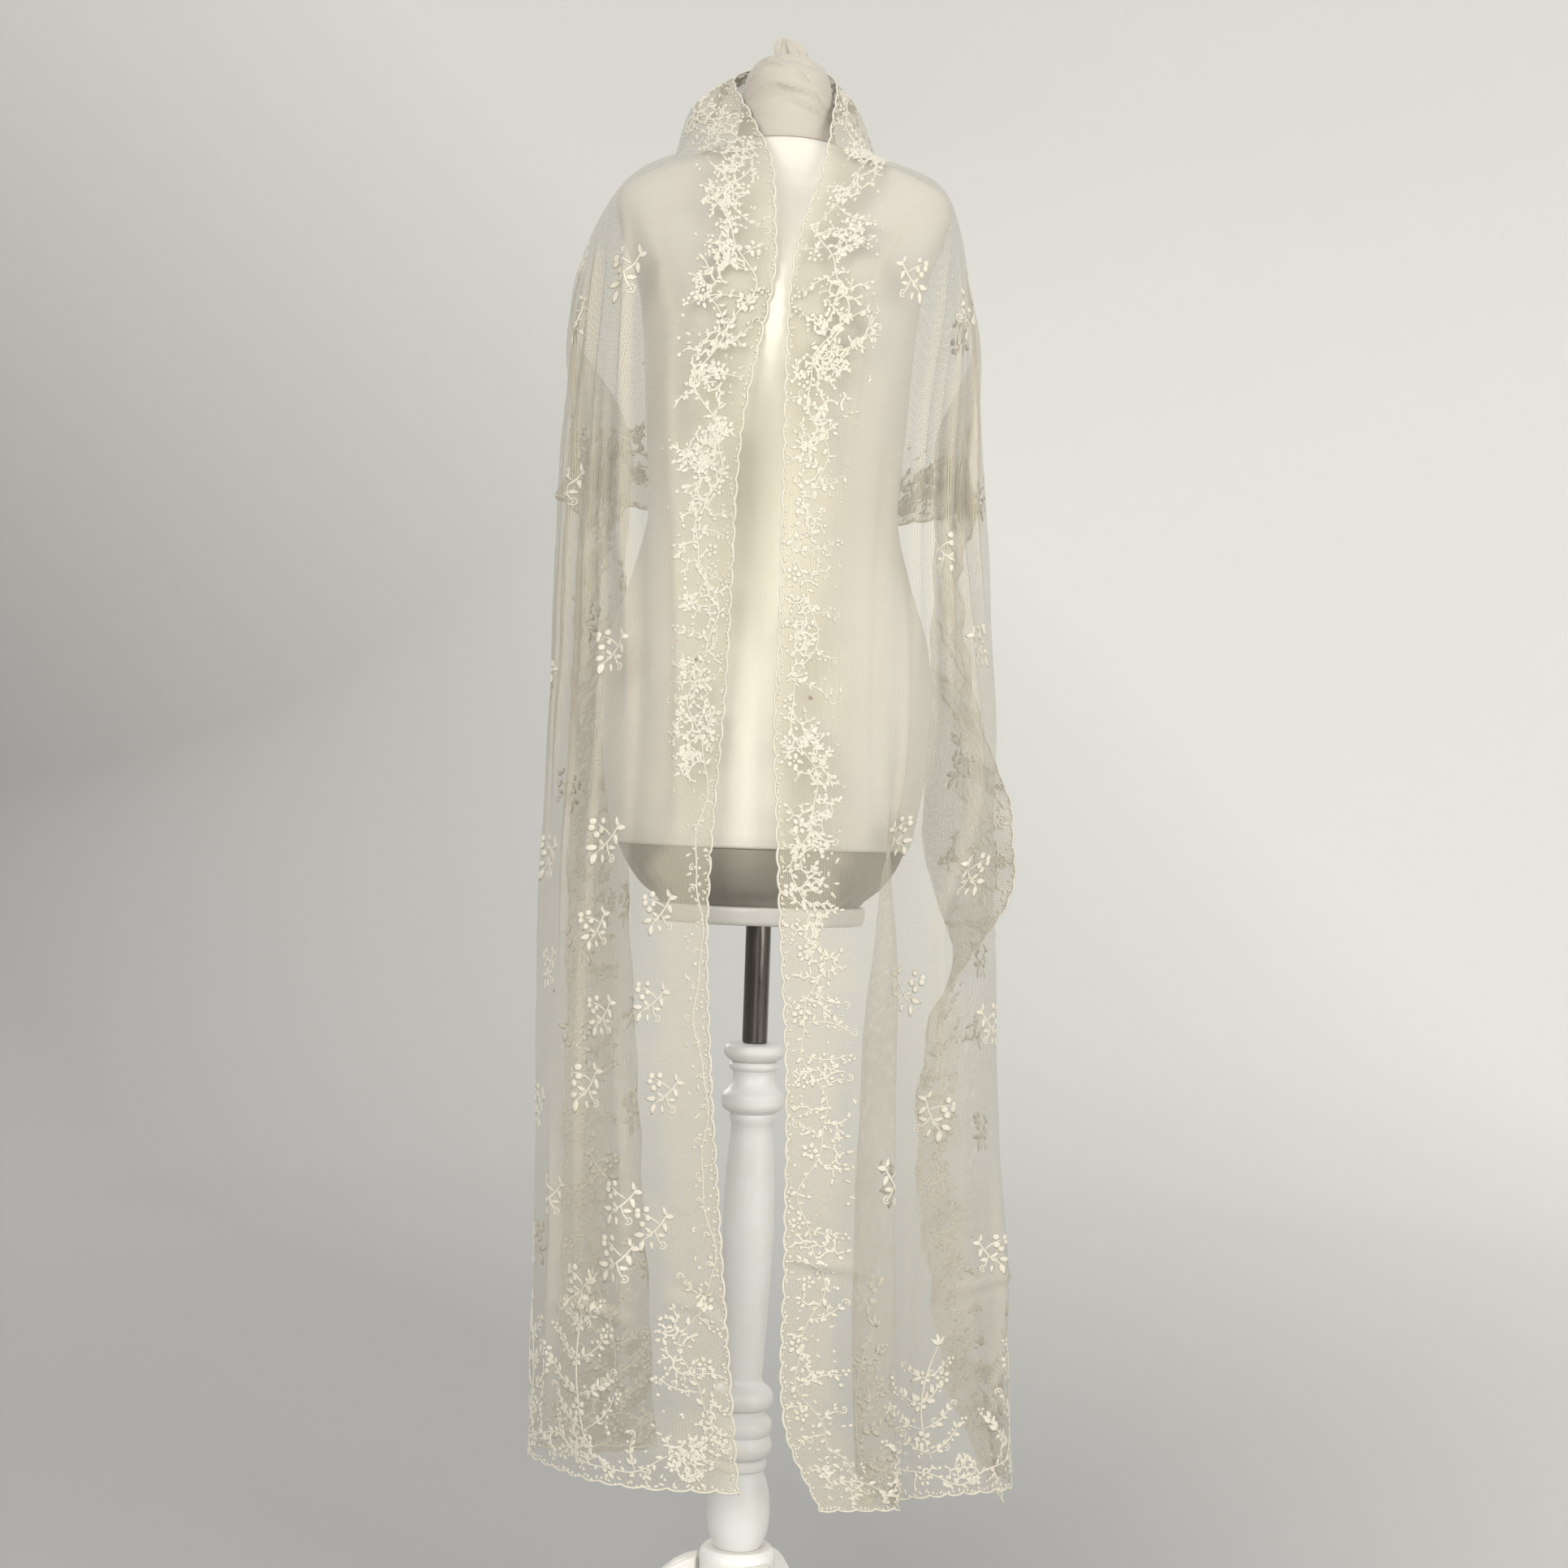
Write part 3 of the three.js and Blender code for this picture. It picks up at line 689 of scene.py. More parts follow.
# How deep the flowered border is, in millimetres, along the inner edge; elsewhere it keeps one depth
INNER_BORDER = (
    (-1480, 74), (-1330, 64), (-1265, 28), (-1180, 24), (-900, 25), (-840, 34), (-780, 56),
    (-520, 66), (-455, 84), (-330, 74), (-180, 82), (-60, 72), (60, 70), (160, 76), (330, 84),
    (390, 96), (470, 76), (540, 58), (900, 62), (1300, 56), (1500, 62),
)
OUTER_BORDER = (
    (-1480, 66), (-700, 58), (-420, 66), (-260, 84), (0, 88), (260, 84), (420, 66), (700, 58),
    (1100, 62), (1500, 78),
)
# From this depth on, a border has corals and branches
DEEP = 40
# Steps along the border's stem and the corded edge, and between their motifs and knots
STEM_STEP = 3.0
MOTIF_PITCH = (12, 18)
CORD_STEP = 2.6
KNOT_PITCH = (3.5, 7.5)


def inner_edge(z):
    return z


def outer_edge(z):
    return np.conj(z) + 1j * WIDTH


def left_hem(z):
    return 1j * np.conj(z) - LEFT_HEM


def right_hem(z):
    return 1j * z + RIGHT_HEM


def cord(work, put, start, end, rng):
    """The thick thread that follows the scallops, with uneven knots worked along it."""
    run = np.arange(start, end + 1, CORD_STEP)
    edge = scallop(run)
    work.stroke(put, run + 1j * (edge + CORD * 0.35), CORD, rise=1.0, blunt=True, margin=-1)
    at = start + 4
    while at < end - 3:
        inside = complex(at, scallop(at) + rng.uniform(1.6, 4.6))
        if rng.random() < 0.45:
            leaf(work, put, inside, rng.uniform(-0.6, 2.2), rng.uniform(4, 6.5), 2.7, margin=0)
        else:
            dot(work, put, inside, rng.uniform(1.3, 2.1), sides=6, margin=0)
        at += rng.uniform(*KNOT_PITCH)


def border(work, put, start, end, depths, rng):
    """The flowered border: a wandering stem with leaves, corals, branches, flowers and dots."""
    along, deep = np.array(depths, float).T
    run = np.arange(start, end, STEM_STEP)
    depth = np.interp(run, along, deep)
    swing = np.sin(run / 24.5) * 0.2 + np.sin(run / 9.7 + 2) * 0.05
    stem = run + 1j * depth * (0.46 + swing)
    work.stroke(put, stem, STEM + 0.3)
    for k in range(2, len(run) - 2, 3):
        heading = math.atan2((stem[k + 1] - stem[k - 1]).imag, (stem[k + 1] - stem[k - 1]).real)
        sign = 1 if k % 2 else -1
        length = rng.uniform(5.5, 9.5) * min(1, depth[k] / 50)
        turn = heading + sign * rng.uniform(0.7, 1.3)
        leaf(work, put, stem[k], turn, length, length * rng.uniform(0.45, 0.65), bend=-0.2 * sign)
    at = start + 14
    count = 0
    while at < end - 12:
        deep_here = float(np.interp(at, along, deep))
        root = np.interp(at, run, stem.imag)
        if deep_here > DEEP:
            inward = count % 2 == 0
            reach = (deep_here - root if inward else root - 6) * rng.uniform(0.85, 1.1)
            if reach > 12:
                turn = (1 if inward else -1) * rng.uniform(0.7, 2.2)
                where = placed(put, complex(at, root), turn, flip=rng.random() < 0.5)
                if rng.random() < 0.5:
                    coral(work, where, reach, rng)
                else:
                    branch(work, where, reach, rng, leaf_length=7.4, tip=rng.choice(("dots", "curl")))
            if count % 4 == 1:
                flower(work, put, complex(at + 10, root * 0.55 + 4), rng.uniform(6.0, 8.0))
        elif count % 2 == 0:
            curled(work, put, complex(at, root + 3), rng.uniform(0, 3), 6)
        for _ in range(3 if deep_here > DEEP else 2):
            beyond = complex(at + rng.uniform(-10, 10), deep_here * rng.uniform(0.15, 1.08))
            if rng.random() < 0.5:
                dot(work, put, beyond, rng.uniform(1.4, 2.5), sides=6)
            else:
                leaf(work, put, beyond, rng.uniform(0, 6.3), rng.uniform(4.5, 7.5), 3.0)
        at += rng.uniform(*MOTIF_PITCH)
        count += 1


class Graph:
    """A material built from nodes round one Principled shader; constants go on its own sockets."""

    def __init__(self, name, **constants):
        self.material = bpy.data.materials.new(name)
        self.material.use_nodes = True
        self.tree = self.material.node_tree
        self.shader = self.tree.nodes["Principled BSDF"]
        for key, value in constants.items():
            self.shader.inputs[key.replace("_", " ")].default_value = value

    def node(self, kind, inputs=None, **settings):
        made = self.tree.nodes.new("ShaderNode" + kind)
        for key, value in settings.items():
            setattr(made, key, value)
        for key, value in (inputs or {}).items():
            self.feed(made.inputs[key], value)
        return made

    def feed(self, socket, value):
        if isinstance(value, bpy.types.NodeSocket):
            self.tree.links.new(value, socket)
        else:
            socket.default_value = value

    def math(self, operation, a, b=0.0, clamp=False):
        made = self.node("Math", {0: a, 1: b}, operation=operation, use_clamp=clamp)
        return made.outputs[0]

    def vector(self, operation, a, b=(0, 0, 0)):
        made = self.node("VectorMath", {0: a, 1: b}, operation=operation)
        return made.outputs["Value" if operation in ("LENGTH", "DOT_PRODUCT", "DISTANCE") else "Vector"]

    def scaled(self, where, factor):
        made = self.node("VectorMath", {0: where, "Scale": factor}, operation="SCALE")
        return made.outputs["Vector"]

    def wave(self, where, scale, distortion, direction="X"):
        made = self.node("TexWave", {"Vector": where, "Scale": scale, "Distortion": distortion,
                                     "Detail": 1.0}, bands_direction=direction)
        return made.outputs["Fac"]

    def noise(self, where, scale, detail=3.0, roughness=0.55):
        made = self.node("TexNoise", {"Vector": where, "Scale": scale, "Detail": detail,
                                      "Roughness": roughness})
        return made.outputs["Fac"]

    def stretch(self, value, low, high, to_low=0.0, to_high=1.0):
        made = self.node("MapRange", {"Value": value, "From Min": low, "From Max": high,
                                      "To Min": to_low, "To Max": to_high})
        return made.outputs["Result"]

    def patches(self, where, scale, low=0.3, high=0.7, to_low=0.0, to_high=1.0, detail=3.0):
        """Uneven patches, from a noise whose low to high range is spread over to_low to to_high."""
        return self.stretch(self.noise(where, scale, detail), low, high, to_low, to_high)

    def blend(self, share, a, b):
        """From colour a to colour b, each three shares or a socket."""
        made = self.node("Mix", data_type="RGBA")
        self.feed(made.inputs[0], share)
        self.feed(made.inputs[6], (*a, 1.0) if isinstance(a, tuple) else a)
        self.feed(made.inputs[7], (*b, 1.0) if isinstance(b, tuple) else b)
        return made.outputs[2]

    def flat(self):
        return self.node("UVMap", uv_map="flat").outputs["UV"]

    def place(self):
        return self.node("TexCoord").outputs["Object"]

    def colour(self, value):
        self.feed(self.shader.inputs["Base Color"], value)

    def roughness(self, value):
        self.feed(self.shader.inputs["Roughness"], value)

    def bump(self, height, strength, distance):
        made = self.node("Bump", {"Height": height, "Strength": strength, "Distance": distance})
        self.tree.links.new(made.outputs["Normal"], self.shader.inputs["Normal"])


# Net, in metres: the width of one cell and of its threads, and how far they wander. Then a shift, in
# cells, that keeps places above zero
CELL = 0.0019
NET_THREAD = 0.00031
THREAD_WANDER = 0.0007
FAR = (1000.0, 1000.0 * math.sqrt(3), 0)

# Old marks on the net: along, across and radius in millimetres, then colour
RUST = (0.20, 0.10, 0.045)
PINK = (0.62, 0.16, 0.18)
MARKS = (
    (-695, 35, 2.6, RUST), (720, 35, 3.0, RUST), (600, 25, 2.0, RUST), (-1012, 300, 2.4, RUST),
    (-676, 55, 1.5, PINK), (180, 402, 2.2, RUST),
)


def border_share(graph, flat):
    """One in the flowered borders, where the ground is worked closer, fading over an uneven line."""
    across = graph.node("SeparateXYZ", {0: flat}).outputs["Y"]
    from_edge = graph.math("PINGPONG", across, WIDTH * MM / 2)
    uneven = graph.patches(flat, 22.0, to_low=-0.018, to_high=0.018, detail=1.0)
    return graph.stretch(graph.math("ADD", from_edge, uneven), 0.068, 0.040)


def hexagon_threads(graph, flat, closer):
    """One where a thread of the six-sided net runs, and zero in its holes."""
    wander = graph.node("TexNoise", {"Vector": flat, "Scale": 90.0, "Detail": 0.0})
    warp = graph.scaled(wander.outputs["Fac"], THREAD_WANDER)
    cells = graph.vector("ADD", graph.scaled(graph.vector("ADD", flat, warp), 1 / CELL), FAR)
    pitch = (1, math.sqrt(3), 1)
    half = (0.5, math.sqrt(3) / 2, 0)
    here = graph.vector("SUBTRACT", graph.vector("MODULO", cells, pitch), half)
    shifted = graph.vector("ADD", cells, half)
    there = graph.vector("SUBTRACT", graph.vector("MODULO", shifted, pitch), half)
    nearer = graph.math("GREATER_THAN", graph.vector("LENGTH", here), graph.vector("LENGTH", there))
    chosen = graph.node("Mix", data_type="VECTOR")
    graph.feed(chosen.inputs[0], nearer)
    graph.feed(chosen.inputs[4], here)
    graph.feed(chosen.inputs[5], there)
    folded = graph.vector("ABSOLUTE", chosen.outputs[1])
    sideways = graph.node("SeparateXYZ", {0: folded}).outputs["X"]
    slanted = graph.vector("DOT_PRODUCT", folded, half)
    reach = graph.math("MAXIMUM", sideways, slanted)
    half_thread = NET_THREAD / CELL / 2
    thicker = graph.math("MULTIPLY", closer, half_thread * 0.75)
    to_edge = graph.math("SUBTRACT", graph.math("SUBTRACT", 0.5, reach), thicker)
    return graph.stretch(to_edge, half_thread * 1.3, half_thread * 0.7)


def net_material():
    graph = Graph("net", Roughness=0.85, Sheen_Weight=0.25, Sheen_Roughness=0.5,
                  Specular_IOR_Level=0.2)
    flat = graph.flat()
    # Thicker, warmer, more opaque net where the folds are steep: partly gathered threads, partly painted
    # fold shade. The borders' closer ground is real.
    pleated_and_painted_shade = graph.node("Attribute", attribute_name="gathered_and_painted_shade").outputs["Fac"]
    pleated_and_painted_shade = graph.stretch(pleated_and_painted_shade, 0.25, 1.2, 0, 1.5)
    closer = graph.math("MAXIMUM", border_share(graph, flat), pleated_and_painted_shade)
    threads = hexagon_threads(graph, flat, closer)
    aged = graph.patches(flat, 5.0, 0.35, 0.68, detail=1.0)
    colour = graph.blend(aged, (0.50, 0.468, 0.39), (0.46, 0.42, 0.33))
    colour = graph.blend(closer, colour, (0.55, 0.495, 0.375))
    cover = threads
    for along, across, radius, tint in MARKS:
        centre = (along * MM, across * MM, 0)
        away = graph.vector("DISTANCE", flat, centre)
        mark = graph.stretch(away, radius * MM, radius * MM * 0.35)
        colour = graph.blend(mark, colour, tint)
        cover = graph.math("ADD", cover, graph.math("MULTIPLY", mark, 0.45), clamp=True)
    graph.colour(colour)
    graph.feed(graph.shader.inputs["Alpha"], cover)
    return graph.material


def thread_material():
    """Cotton thread laid over and over, with a slight shine along the stitches and painted shade between
    them.
    """
    graph = Graph("thread", Roughness=0.62, Sheen_Weight=0.35, Sheen_Roughness=0.4,
                  Specular_IOR_Level=0.35)
    flat = graph.flat()
    stitches = graph.wave(flat, 480.0, 1.2)
    colour = graph.blend(graph.patches(flat, 26.0), (0.78, 0.74, 0.635), (0.70, 0.645, 0.51))
    # Painted shade in the grooves between the stitches.
    painted_shade_between_stitches = graph.stretch(stitches, 0.35, 0.0, 0.0, 0.45)
    graph.colour(graph.blend(painted_shade_between_stitches, colour, (0.52, 0.46, 0.34)))
    graph.bump(stitches, 0.6, 0.00025)
    return graph.material


def jersey_material(name, light, dull):
    """Fine knit: columns of stitches with painted shade between them, a slight unevenness, and a yellowed
    middle at the front whose paler colour is partly painted light.
    """
    graph = Graph(name, Roughness=0.82, Sheen_Weight=0.3, Sheen_Roughness=0.45,
                  Specular_IOR_Level=0.25)
    flat = graph.flat()
    place = graph.place()
    columns = graph.wave(flat, 260.0, 0.6)
    courses = graph.wave(flat, 330.0, 0.8, "Y")
    knit = graph.math("MULTIPLY", columns, graph.stretch(courses, 0, 1, 0.55, 1))
    colour = graph.blend(graph.patches(place, 7.0), light, dull)
    # Yellowed, paler middle at the front: partly the jersey's own yellowing, partly painted light.
    middle = (AXIS_X * MM, -0.1, 1.19)
    squeezed = graph.vector("MULTIPLY", graph.vector("SUBTRACT", place, middle), (1, 0.45, 0.34))
    yellowed_and_painted_light = graph.stretch(graph.vector("LENGTH", squeezed), 0.125, 0.02, 0, 0.75)
    colour = graph.blend(yellowed_and_painted_light, colour, (0.90, 0.845, 0.655))
    # Painted shade in the grooves between the knitted stitches.
    painted_shade_between_stitches = graph.stretch(knit, 0.3, 0.0, 0.0, 0.3)
    graph.colour(graph.blend(painted_shade_between_stitches, colour, (0.5, 0.45, 0.36)))
    graph.bump(knit, 0.45, 0.0003)
    return graph.material


def paint_material(name, light, dull):
    """Satin white paint over turned wood, rubbed a little warmer on its proud edges."""
    graph = Graph(name, Coat_Weight=0.15, Coat_Roughness=0.2, Specular_IOR_Level=0.5)
    place = graph.place()
    proud = graph.node("NewGeometry").outputs["Pointiness"]
    wear_and_painted_shade = graph.math("MULTIPLY", graph.stretch(proud, 0.505, 0.56), graph.noise(place, 60.0))
    colour = graph.blend(graph.patches(place, 14.0, 0.35), light, dull)
    graph.colour(graph.blend(wear_and_painted_shade, colour, (0.72, 0.66, 0.54)))
    graph.roughness(graph.patches(place, 35.0, 0, 1, 0.28, 0.42))
    along_grain = graph.vector("MULTIPLY", place, (260, 260, 22))
    graph.bump(graph.noise(along_grain, 1.0, detail=4.0), 0.12, 0.0004)
    return graph.material


def chrome_material():
    """Plated tube, a little dulled, with faint streaks along it."""
    graph = Graph("chrome", Metallic=1.0)
    place = graph.place()
    streaks = graph.noise(graph.vector("MULTIPLY", place, (300, 300, 4)), 1.0, detail=4.0)
    shade = graph.stretch(streaks, 0.35, 0.7)
    graph.colour(graph.blend(shade, (0.17, 0.16, 0.145), (0.09, 0.085, 0.075)))
    graph.roughness(graph.patches(place, 40.0, 0.3, 0.75, 0.10, 0.24))
    graph.bump(streaks, 0.05, 0.0002)
    return graph.material


def studio_material():
    """Matt and pale, with painted shade: a little darker low down round the stand and at the viewer's
    left.
    """
    graph = Graph("studio", Roughness=0.95, Specular_IOR_Level=0.1)
    place = graph.place()
    from_middle = graph.vector("LENGTH", graph.vector("MULTIPLY", place, (0.13, 0.13, 0.36)))
    sideways = graph.vector("DOT_PRODUCT", place, (0.24, 0, 0))
    shade = graph.stretch(graph.math("ADD", from_middle, sideways), 0.12, 1.0)
    graph.colour(graph.blend(shade, (0.41, 0.405, 0.39), (0.93, 0.915, 0.86)))
    graph.bump(graph.noise(place, 90.0), 0.05, 0.001)
    return graph.material


# Dress form: level sections as height, half width, reach forward and reach back from the axis
TORSO = (
    (884, 142, 101, 107), (886, 145.5, 104.5, 110.5), (891, 147.5, 106, 112.5), (940, 157, 110, 122),
    (1010, 162, 110, 126), (1080, 159, 102, 117), (1145, 139, 88, 94), (1208, 124, 80, 78),
    (1270, 127, 92, 82), (1325, 131, 110, 95), (1376, 134, 121, 105), (1430, 141, 107, 111),
    (1480, 158, 78, 109), (1512, 166, 56, 96), (1529, 161, 48, 84), (1544, 137, 49, 78),
    (1557, 104, 50, 73), (1567, 73, 50, 66), (1573.6, 52, 48, 56),
)
UNDERSIDE = ((828.3, 98, 70, 72), (834, 103, 73, 76), (846, 118, 84, 88), (866, 133, 95, 100),
             (883.7, 141, 101, 107))
NECK_CAP = ((1574, 51, 47, 55), (1592, 47, 45, 50), (1618, 45, 44, 47), (1640, 41, 41, 43),
            (1654, 32, 33, 34), (1659.5, 23, 24, 24), (1661, 14, 15, 15))
PLATE = ((810, 100, 74, 74), (810.8, 102, 76, 76), (813.5, 103.6, 77.6, 77.6), (817, 104, 78, 78),
         (824, 104, 78, 78), (826.8, 103.4, 77.4, 77.4), (828, 101.5, 75.5, 75.5))
KNOB = ((1657, 16, 9, 9), (1661.3, 15, 8.5, 8.5), (1668, 16, 8, 8), (1677, 12, 6, 6), (1682, 5, 3.5, 3.5))
NECK_SEAM = (1574, 52.2, 48.2, 56.2)
TORSO_INSET = 1.0
LOFT_CREASE = math.radians(50)

# Wrinkles of the jersey: points, sideways + 1j * height, then half width and how far they lift
CAP_WRINKLES = (
    ((-24+1653j, 6+1641j, 42+1610j), 2.4, 4.4),
    ((-12+1652j, 18+1633j, 42+1602j), 2.2, -3.2),
    ((-40+1615j, -10+1626j, 20+1618j, 42+1607j), 2.2, 3.8),
    ((-36+1609j, -6+1619j, 16+1612j), 2.0, -2.4),
    ((-4+1615j, 20+1604j, 42+1599j), 2.1, 3.2),
    ((-30+1651j, 4+1651j, 34+1644j), 2.2, -3.0),
    ((-38+1634j, -18+1643j, -2+1648j), 2.5, 2.6),
    ((-30+1600j, -4+1596j, 22+1598j), 3.0, 0.8),
)
TORSO_WRINKLES = (
    ((-44+1116j, -8+1119j, 36+1115j), 2.6, 0.9),
    ((-120+1060j, -70+1066j, -30+1062j), 4.0, -0.8),
    ((60+1012j, 100+1020j, 140+1016j), 4.0, 0.8),
    ((-130+900j, -40+894j, 60+896j, 130+902j), 3.0, 0.7),
    ((-20+1560j, -40+1530j, -50+1490j), 3.0, 0.6),
)


def wrinkle_lift(x, y, z, wrinkles):
    """Wrinkles on the front; the same ones, mirrored, lie on the back."""
    flat = np.where(y < 0, x, -x) + 1j * z
    return sum(fold_lift(flat, *wrinkle) for wrinkle in wrinkles)


def loft(name, sections, material, around=128, per_span=8, inset=0.0, shape=None):
    """A smooth closed body through level sections, each a front and a back half ellipse."""
    line = smooth_line(sections, per_span)
    z = np.repeat(line[:, 0], around)
    angle = np.tile(circle(around), len(line))
    wide, front, back = (np.repeat(line[:, k], around) - inset for k in (1, 2, 3))
    x = wide * np.cos(angle)
    y = np.where(np.sin(angle) < 0, front, back) * np.sin(angle)
    if shape is not None:
        x, y, z = shape(x, y, z, angle)
    points = np.column_stack([x + AXIS_X, y, z])
    ends = [points[:around].mean(axis=0), points[-around:].mean(axis=0)]
    points = np.vstack([points, *ends]) * MM
    faces = grid_faces(len(line), around)
    foot = len(line) * around
    last = foot - around
    faces += [(foot, (k + 1) % around, k) for k in range(around)]
    faces += [(foot + 1, last + k, last + (k + 1) % around) for k in range(around)]
    girth = float(np.mean(line[:, 1]))
    uv = np.column_stack([np.append(angle, [0, 0]) * girth, np.append(z, [z[0], z[-1]])]) * MM
    made = new_object(name, points, faces, material, uv)
    made.data.set_sharp_from_angle(angle=LOFT_CREASE)
    return made


def torso_shape(x, y, z, angle):
    lift = wrinkle_lift(x, y, z, TORSO_WRINKLES)
    return x + lift * np.cos(angle), y + lift * np.sin(angle), z


def underside_shape(x, y, z, angle):
    """Small gathers where the jersey is drawn in under the form."""
    gathers = 0.9 * np.sin(31 * angle + 2 * np.sin(3 * angle)) * np.clip((884 - z) / 40, 0, 1)
    return x + gathers * np.cos(angle), y + gathers * np.sin(angle), z


def cap_shape(x, y, z, angle):
    lift = wrinkle_lift(x, y, z, CAP_WRINKLES)
    drawn = 0.7 * np.sin(17 * angle + 2 * np.sin(2 * angle)) * np.clip((z - 1640) / 20, 0, 1)
    lift = lift + drawn
    return x + lift * np.cos(angle), y + lift * np.sin(angle), z


def knob_shape(x, y, z, angle):
    """The tied bunch: pleated, twisted, highest at the viewer's left and trailing off to the right."""
    rise = np.clip((z - 1657) / 25, 0, 1)
    pleats = 1 + 0.16 * np.cos(5 * angle + 2.4 * rise) + 0.07 * np.cos(11 * angle - 1.5 * rise)
    lean = 4 - 6.5 * rise**1.4
    crest = 1.6 * np.cos(angle - 2.7) * rise
    return x * pleats * 0.92 + lean, y * pleats, z + crest - 1.2


def seam_ring(name, section, material):
    """A rolled seam round the form: a thin closed ring at one level section."""
    z, wide, front, back = section
    around, sides, radius = 120, 8, 0.8
    angle = circle(around)
    x = wide * np.cos(angle)
    y = np.where(np.sin(angle) < 0, front, back) * np.sin(angle)
    points = []
    for k in range(sides):
        turn = k * 2 * math.pi / sides
        out = radius * math.cos(turn)
        level = np.full(around, z + radius * math.sin(turn))
        points.append(np.column_stack([
            x + AXIS_X + out * np.cos(angle), y + out * np.sin(angle), level
        ]))
    faces = grid_faces(sides, around, ring=True)
    uv = np.column_stack([np.tile(angle * wide, sides), np.repeat(np.arange(sides), around)]) * MM
    return new_object(name, np.vstack(points) * MM, faces, material, uv)


# Stand: each group of radius and height is one smooth curve, and groups meet at crisp edges
POST = (
    ((23.5, 196), (29, 210), (31, 230), (29, 252), (23, 271)),
    ((25, 272.4), (25.8, 274), (25.8, 280), (25, 281.6)),
    ((23, 283), (28.6, 287.5), (31, 295), (28.6, 303), (27, 306)),
    ((28.4, 307), (30.2, 312), (29.6, 319), (24, 326)),
    ((24, 331), (28.8, 334), (30.8, 341), (28.4, 350), (19.4, 358), (19.6, 372), (21.6, 410),
     (24.4, 470), (25.2, 510), (24, 562), (20.2, 612)),
    ((21.6, 614), (22.2, 618), (21.8, 622)),
    ((28.6, 626.5), (30.4, 630), (30.6, 635), (30.2, 640), (28, 643.5)),
    ((25.5, 645.5), (21.4, 653), (20.2, 660), (21, 664)),
    ((23.4, 665.6), (24.4, 667.6), (24.4, 670), (23.2, 672)),
    ((21, 673), (26.4, 676), (29.6, 680.4), (30, 684), (28, 689), (24, 691)),
)
HUB = (
    ((32, 92), (36, 93), (38.6, 97), (39, 102)),
    ((39, 148), (38, 150), (36.6, 151.5), (38, 153)),
    ((38, 186), (36.6, 191), (33, 195.7)),
)
FOOT = (((12, 0), (13.5, 0.6), (14.4, 2.5), (16.4, 9.5), (16.8, 12), (15.6, 13.6), (13, 14)),)
POLE = (((11.2, 691.3), (12.3, 692), (12.5, 693.5)), ((12.5, 807), (12.3, 809), (11.4, 809.7)))
LEG_COUNT = 3
LEG_REACH = 235
FOOT_INSET = 16

# A leg's thickness as layers: how far across, and how far the outline is cut back there
LEG_LAYERS = ((-13, 3.2), (-12.6, 1.6), (-11.4, 0.5), (-9.6, 0), (9.6, 0), (11.4, 0.5), (12.6, 1.6),
              (13, 3.2))

# Steps between two points of a turned profile, and the angles above which an edge stays crisp
TURNED_STEPS = 4
TURNED_CREASE = math.radians(40)


def level_rings(profile, around):
    """Level circles of points about a vertical line, from radius and height."""
    angle = circle(around)
    return np.vstack([
        np.column_stack([r * np.cos(angle), r * np.sin(angle), np.full(around, z)]) for r, z in profile
    ])


def turned(name, groups, material, around=72, centre=(0.0, 0.0)):
    """A turned body about a vertical line, from groups of radius and height, foot first."""
    profile = np.vstack([smooth_line(group, TURNED_STEPS) for group in groups])
    points = level_rings(profile, around) + (centre[0] + AXIS_X, centre[1], 0)
    faces = grid_faces(len(profile), around)
    faces.append(tuple(reversed(range(around))))
    faces.append(tuple((len(profile) - 1) * around + k for k in range(around)))
    made = new_object(name, points * MM, faces, material)
    made.data.set_sharp_from_angle(angle=TURNED_CREASE)
    return made


def bezier(a, b, c, d, count=14):
    t = np.linspace(0, 1, count, endpoint=False)
    return a * (1 - t) ** 3 + 3 * b * t * (1 - t) ** 2 + 3 * c * t**2 * (1 - t) + d * t**3


def leg_outline():
    """The S-shaped side of a leg, as reach + 1j * height, round from the hub's top."""
    start = 39.3
    return np.concatenate([
        bezier(start + 186j, 95 + 184j, 120 + 60j, LEG_REACH - 30 + 44j),
        bezier(LEG_REACH - 30 + 44j, LEG_REACH - 12 + 42j, LEG_REACH + 34j, LEG_REACH + 2 + 14.3j, 8),
        bezier(LEG_REACH + 2 + 14.3j, LEG_REACH - 8 + 14.3j, LEG_REACH - 22 + 14.3j,
               LEG_REACH - 34 + 14.3j, 4),
        bezier(LEG_REACH - 34 + 14.3j, 150 + 22j, 90 + 60j, 70 + 96j),
        bezier(70 + 96j, 64 + 108j, 56 + 117j, start + 118j, 8),
        [start + 118j],
    ])


def leg(name, turn, material):
    """A board cut to the leg's outline, its edges rounded over."""
    outline = leg_outline()
    step = np.roll(outline, -1) - np.roll(outline, 1)
    inward = -1j * step / np.abs(step)
    points = []
    for across, cut in LEG_LAYERS:
        ring = outline + inward * cut
        x = ring.real * math.cos(turn) - across * math.sin(turn)
        y = ring.real * math.sin(turn) + across * math.cos(turn)
        points.append(np.column_stack([x + AXIS_X, y, ring.imag]))
    n = len(outline)
    faces = grid_faces(len(LEG_LAYERS), n)
    faces.append(tuple(reversed(range(n))))
    faces.append(tuple((len(LEG_LAYERS) - 1) * n + k for k in range(n)))
    made = new_object(name, np.vstack(points) * MM, faces, material)
    made.data.set_sharp_from_angle(angle=TURNED_CREASE)
    return made


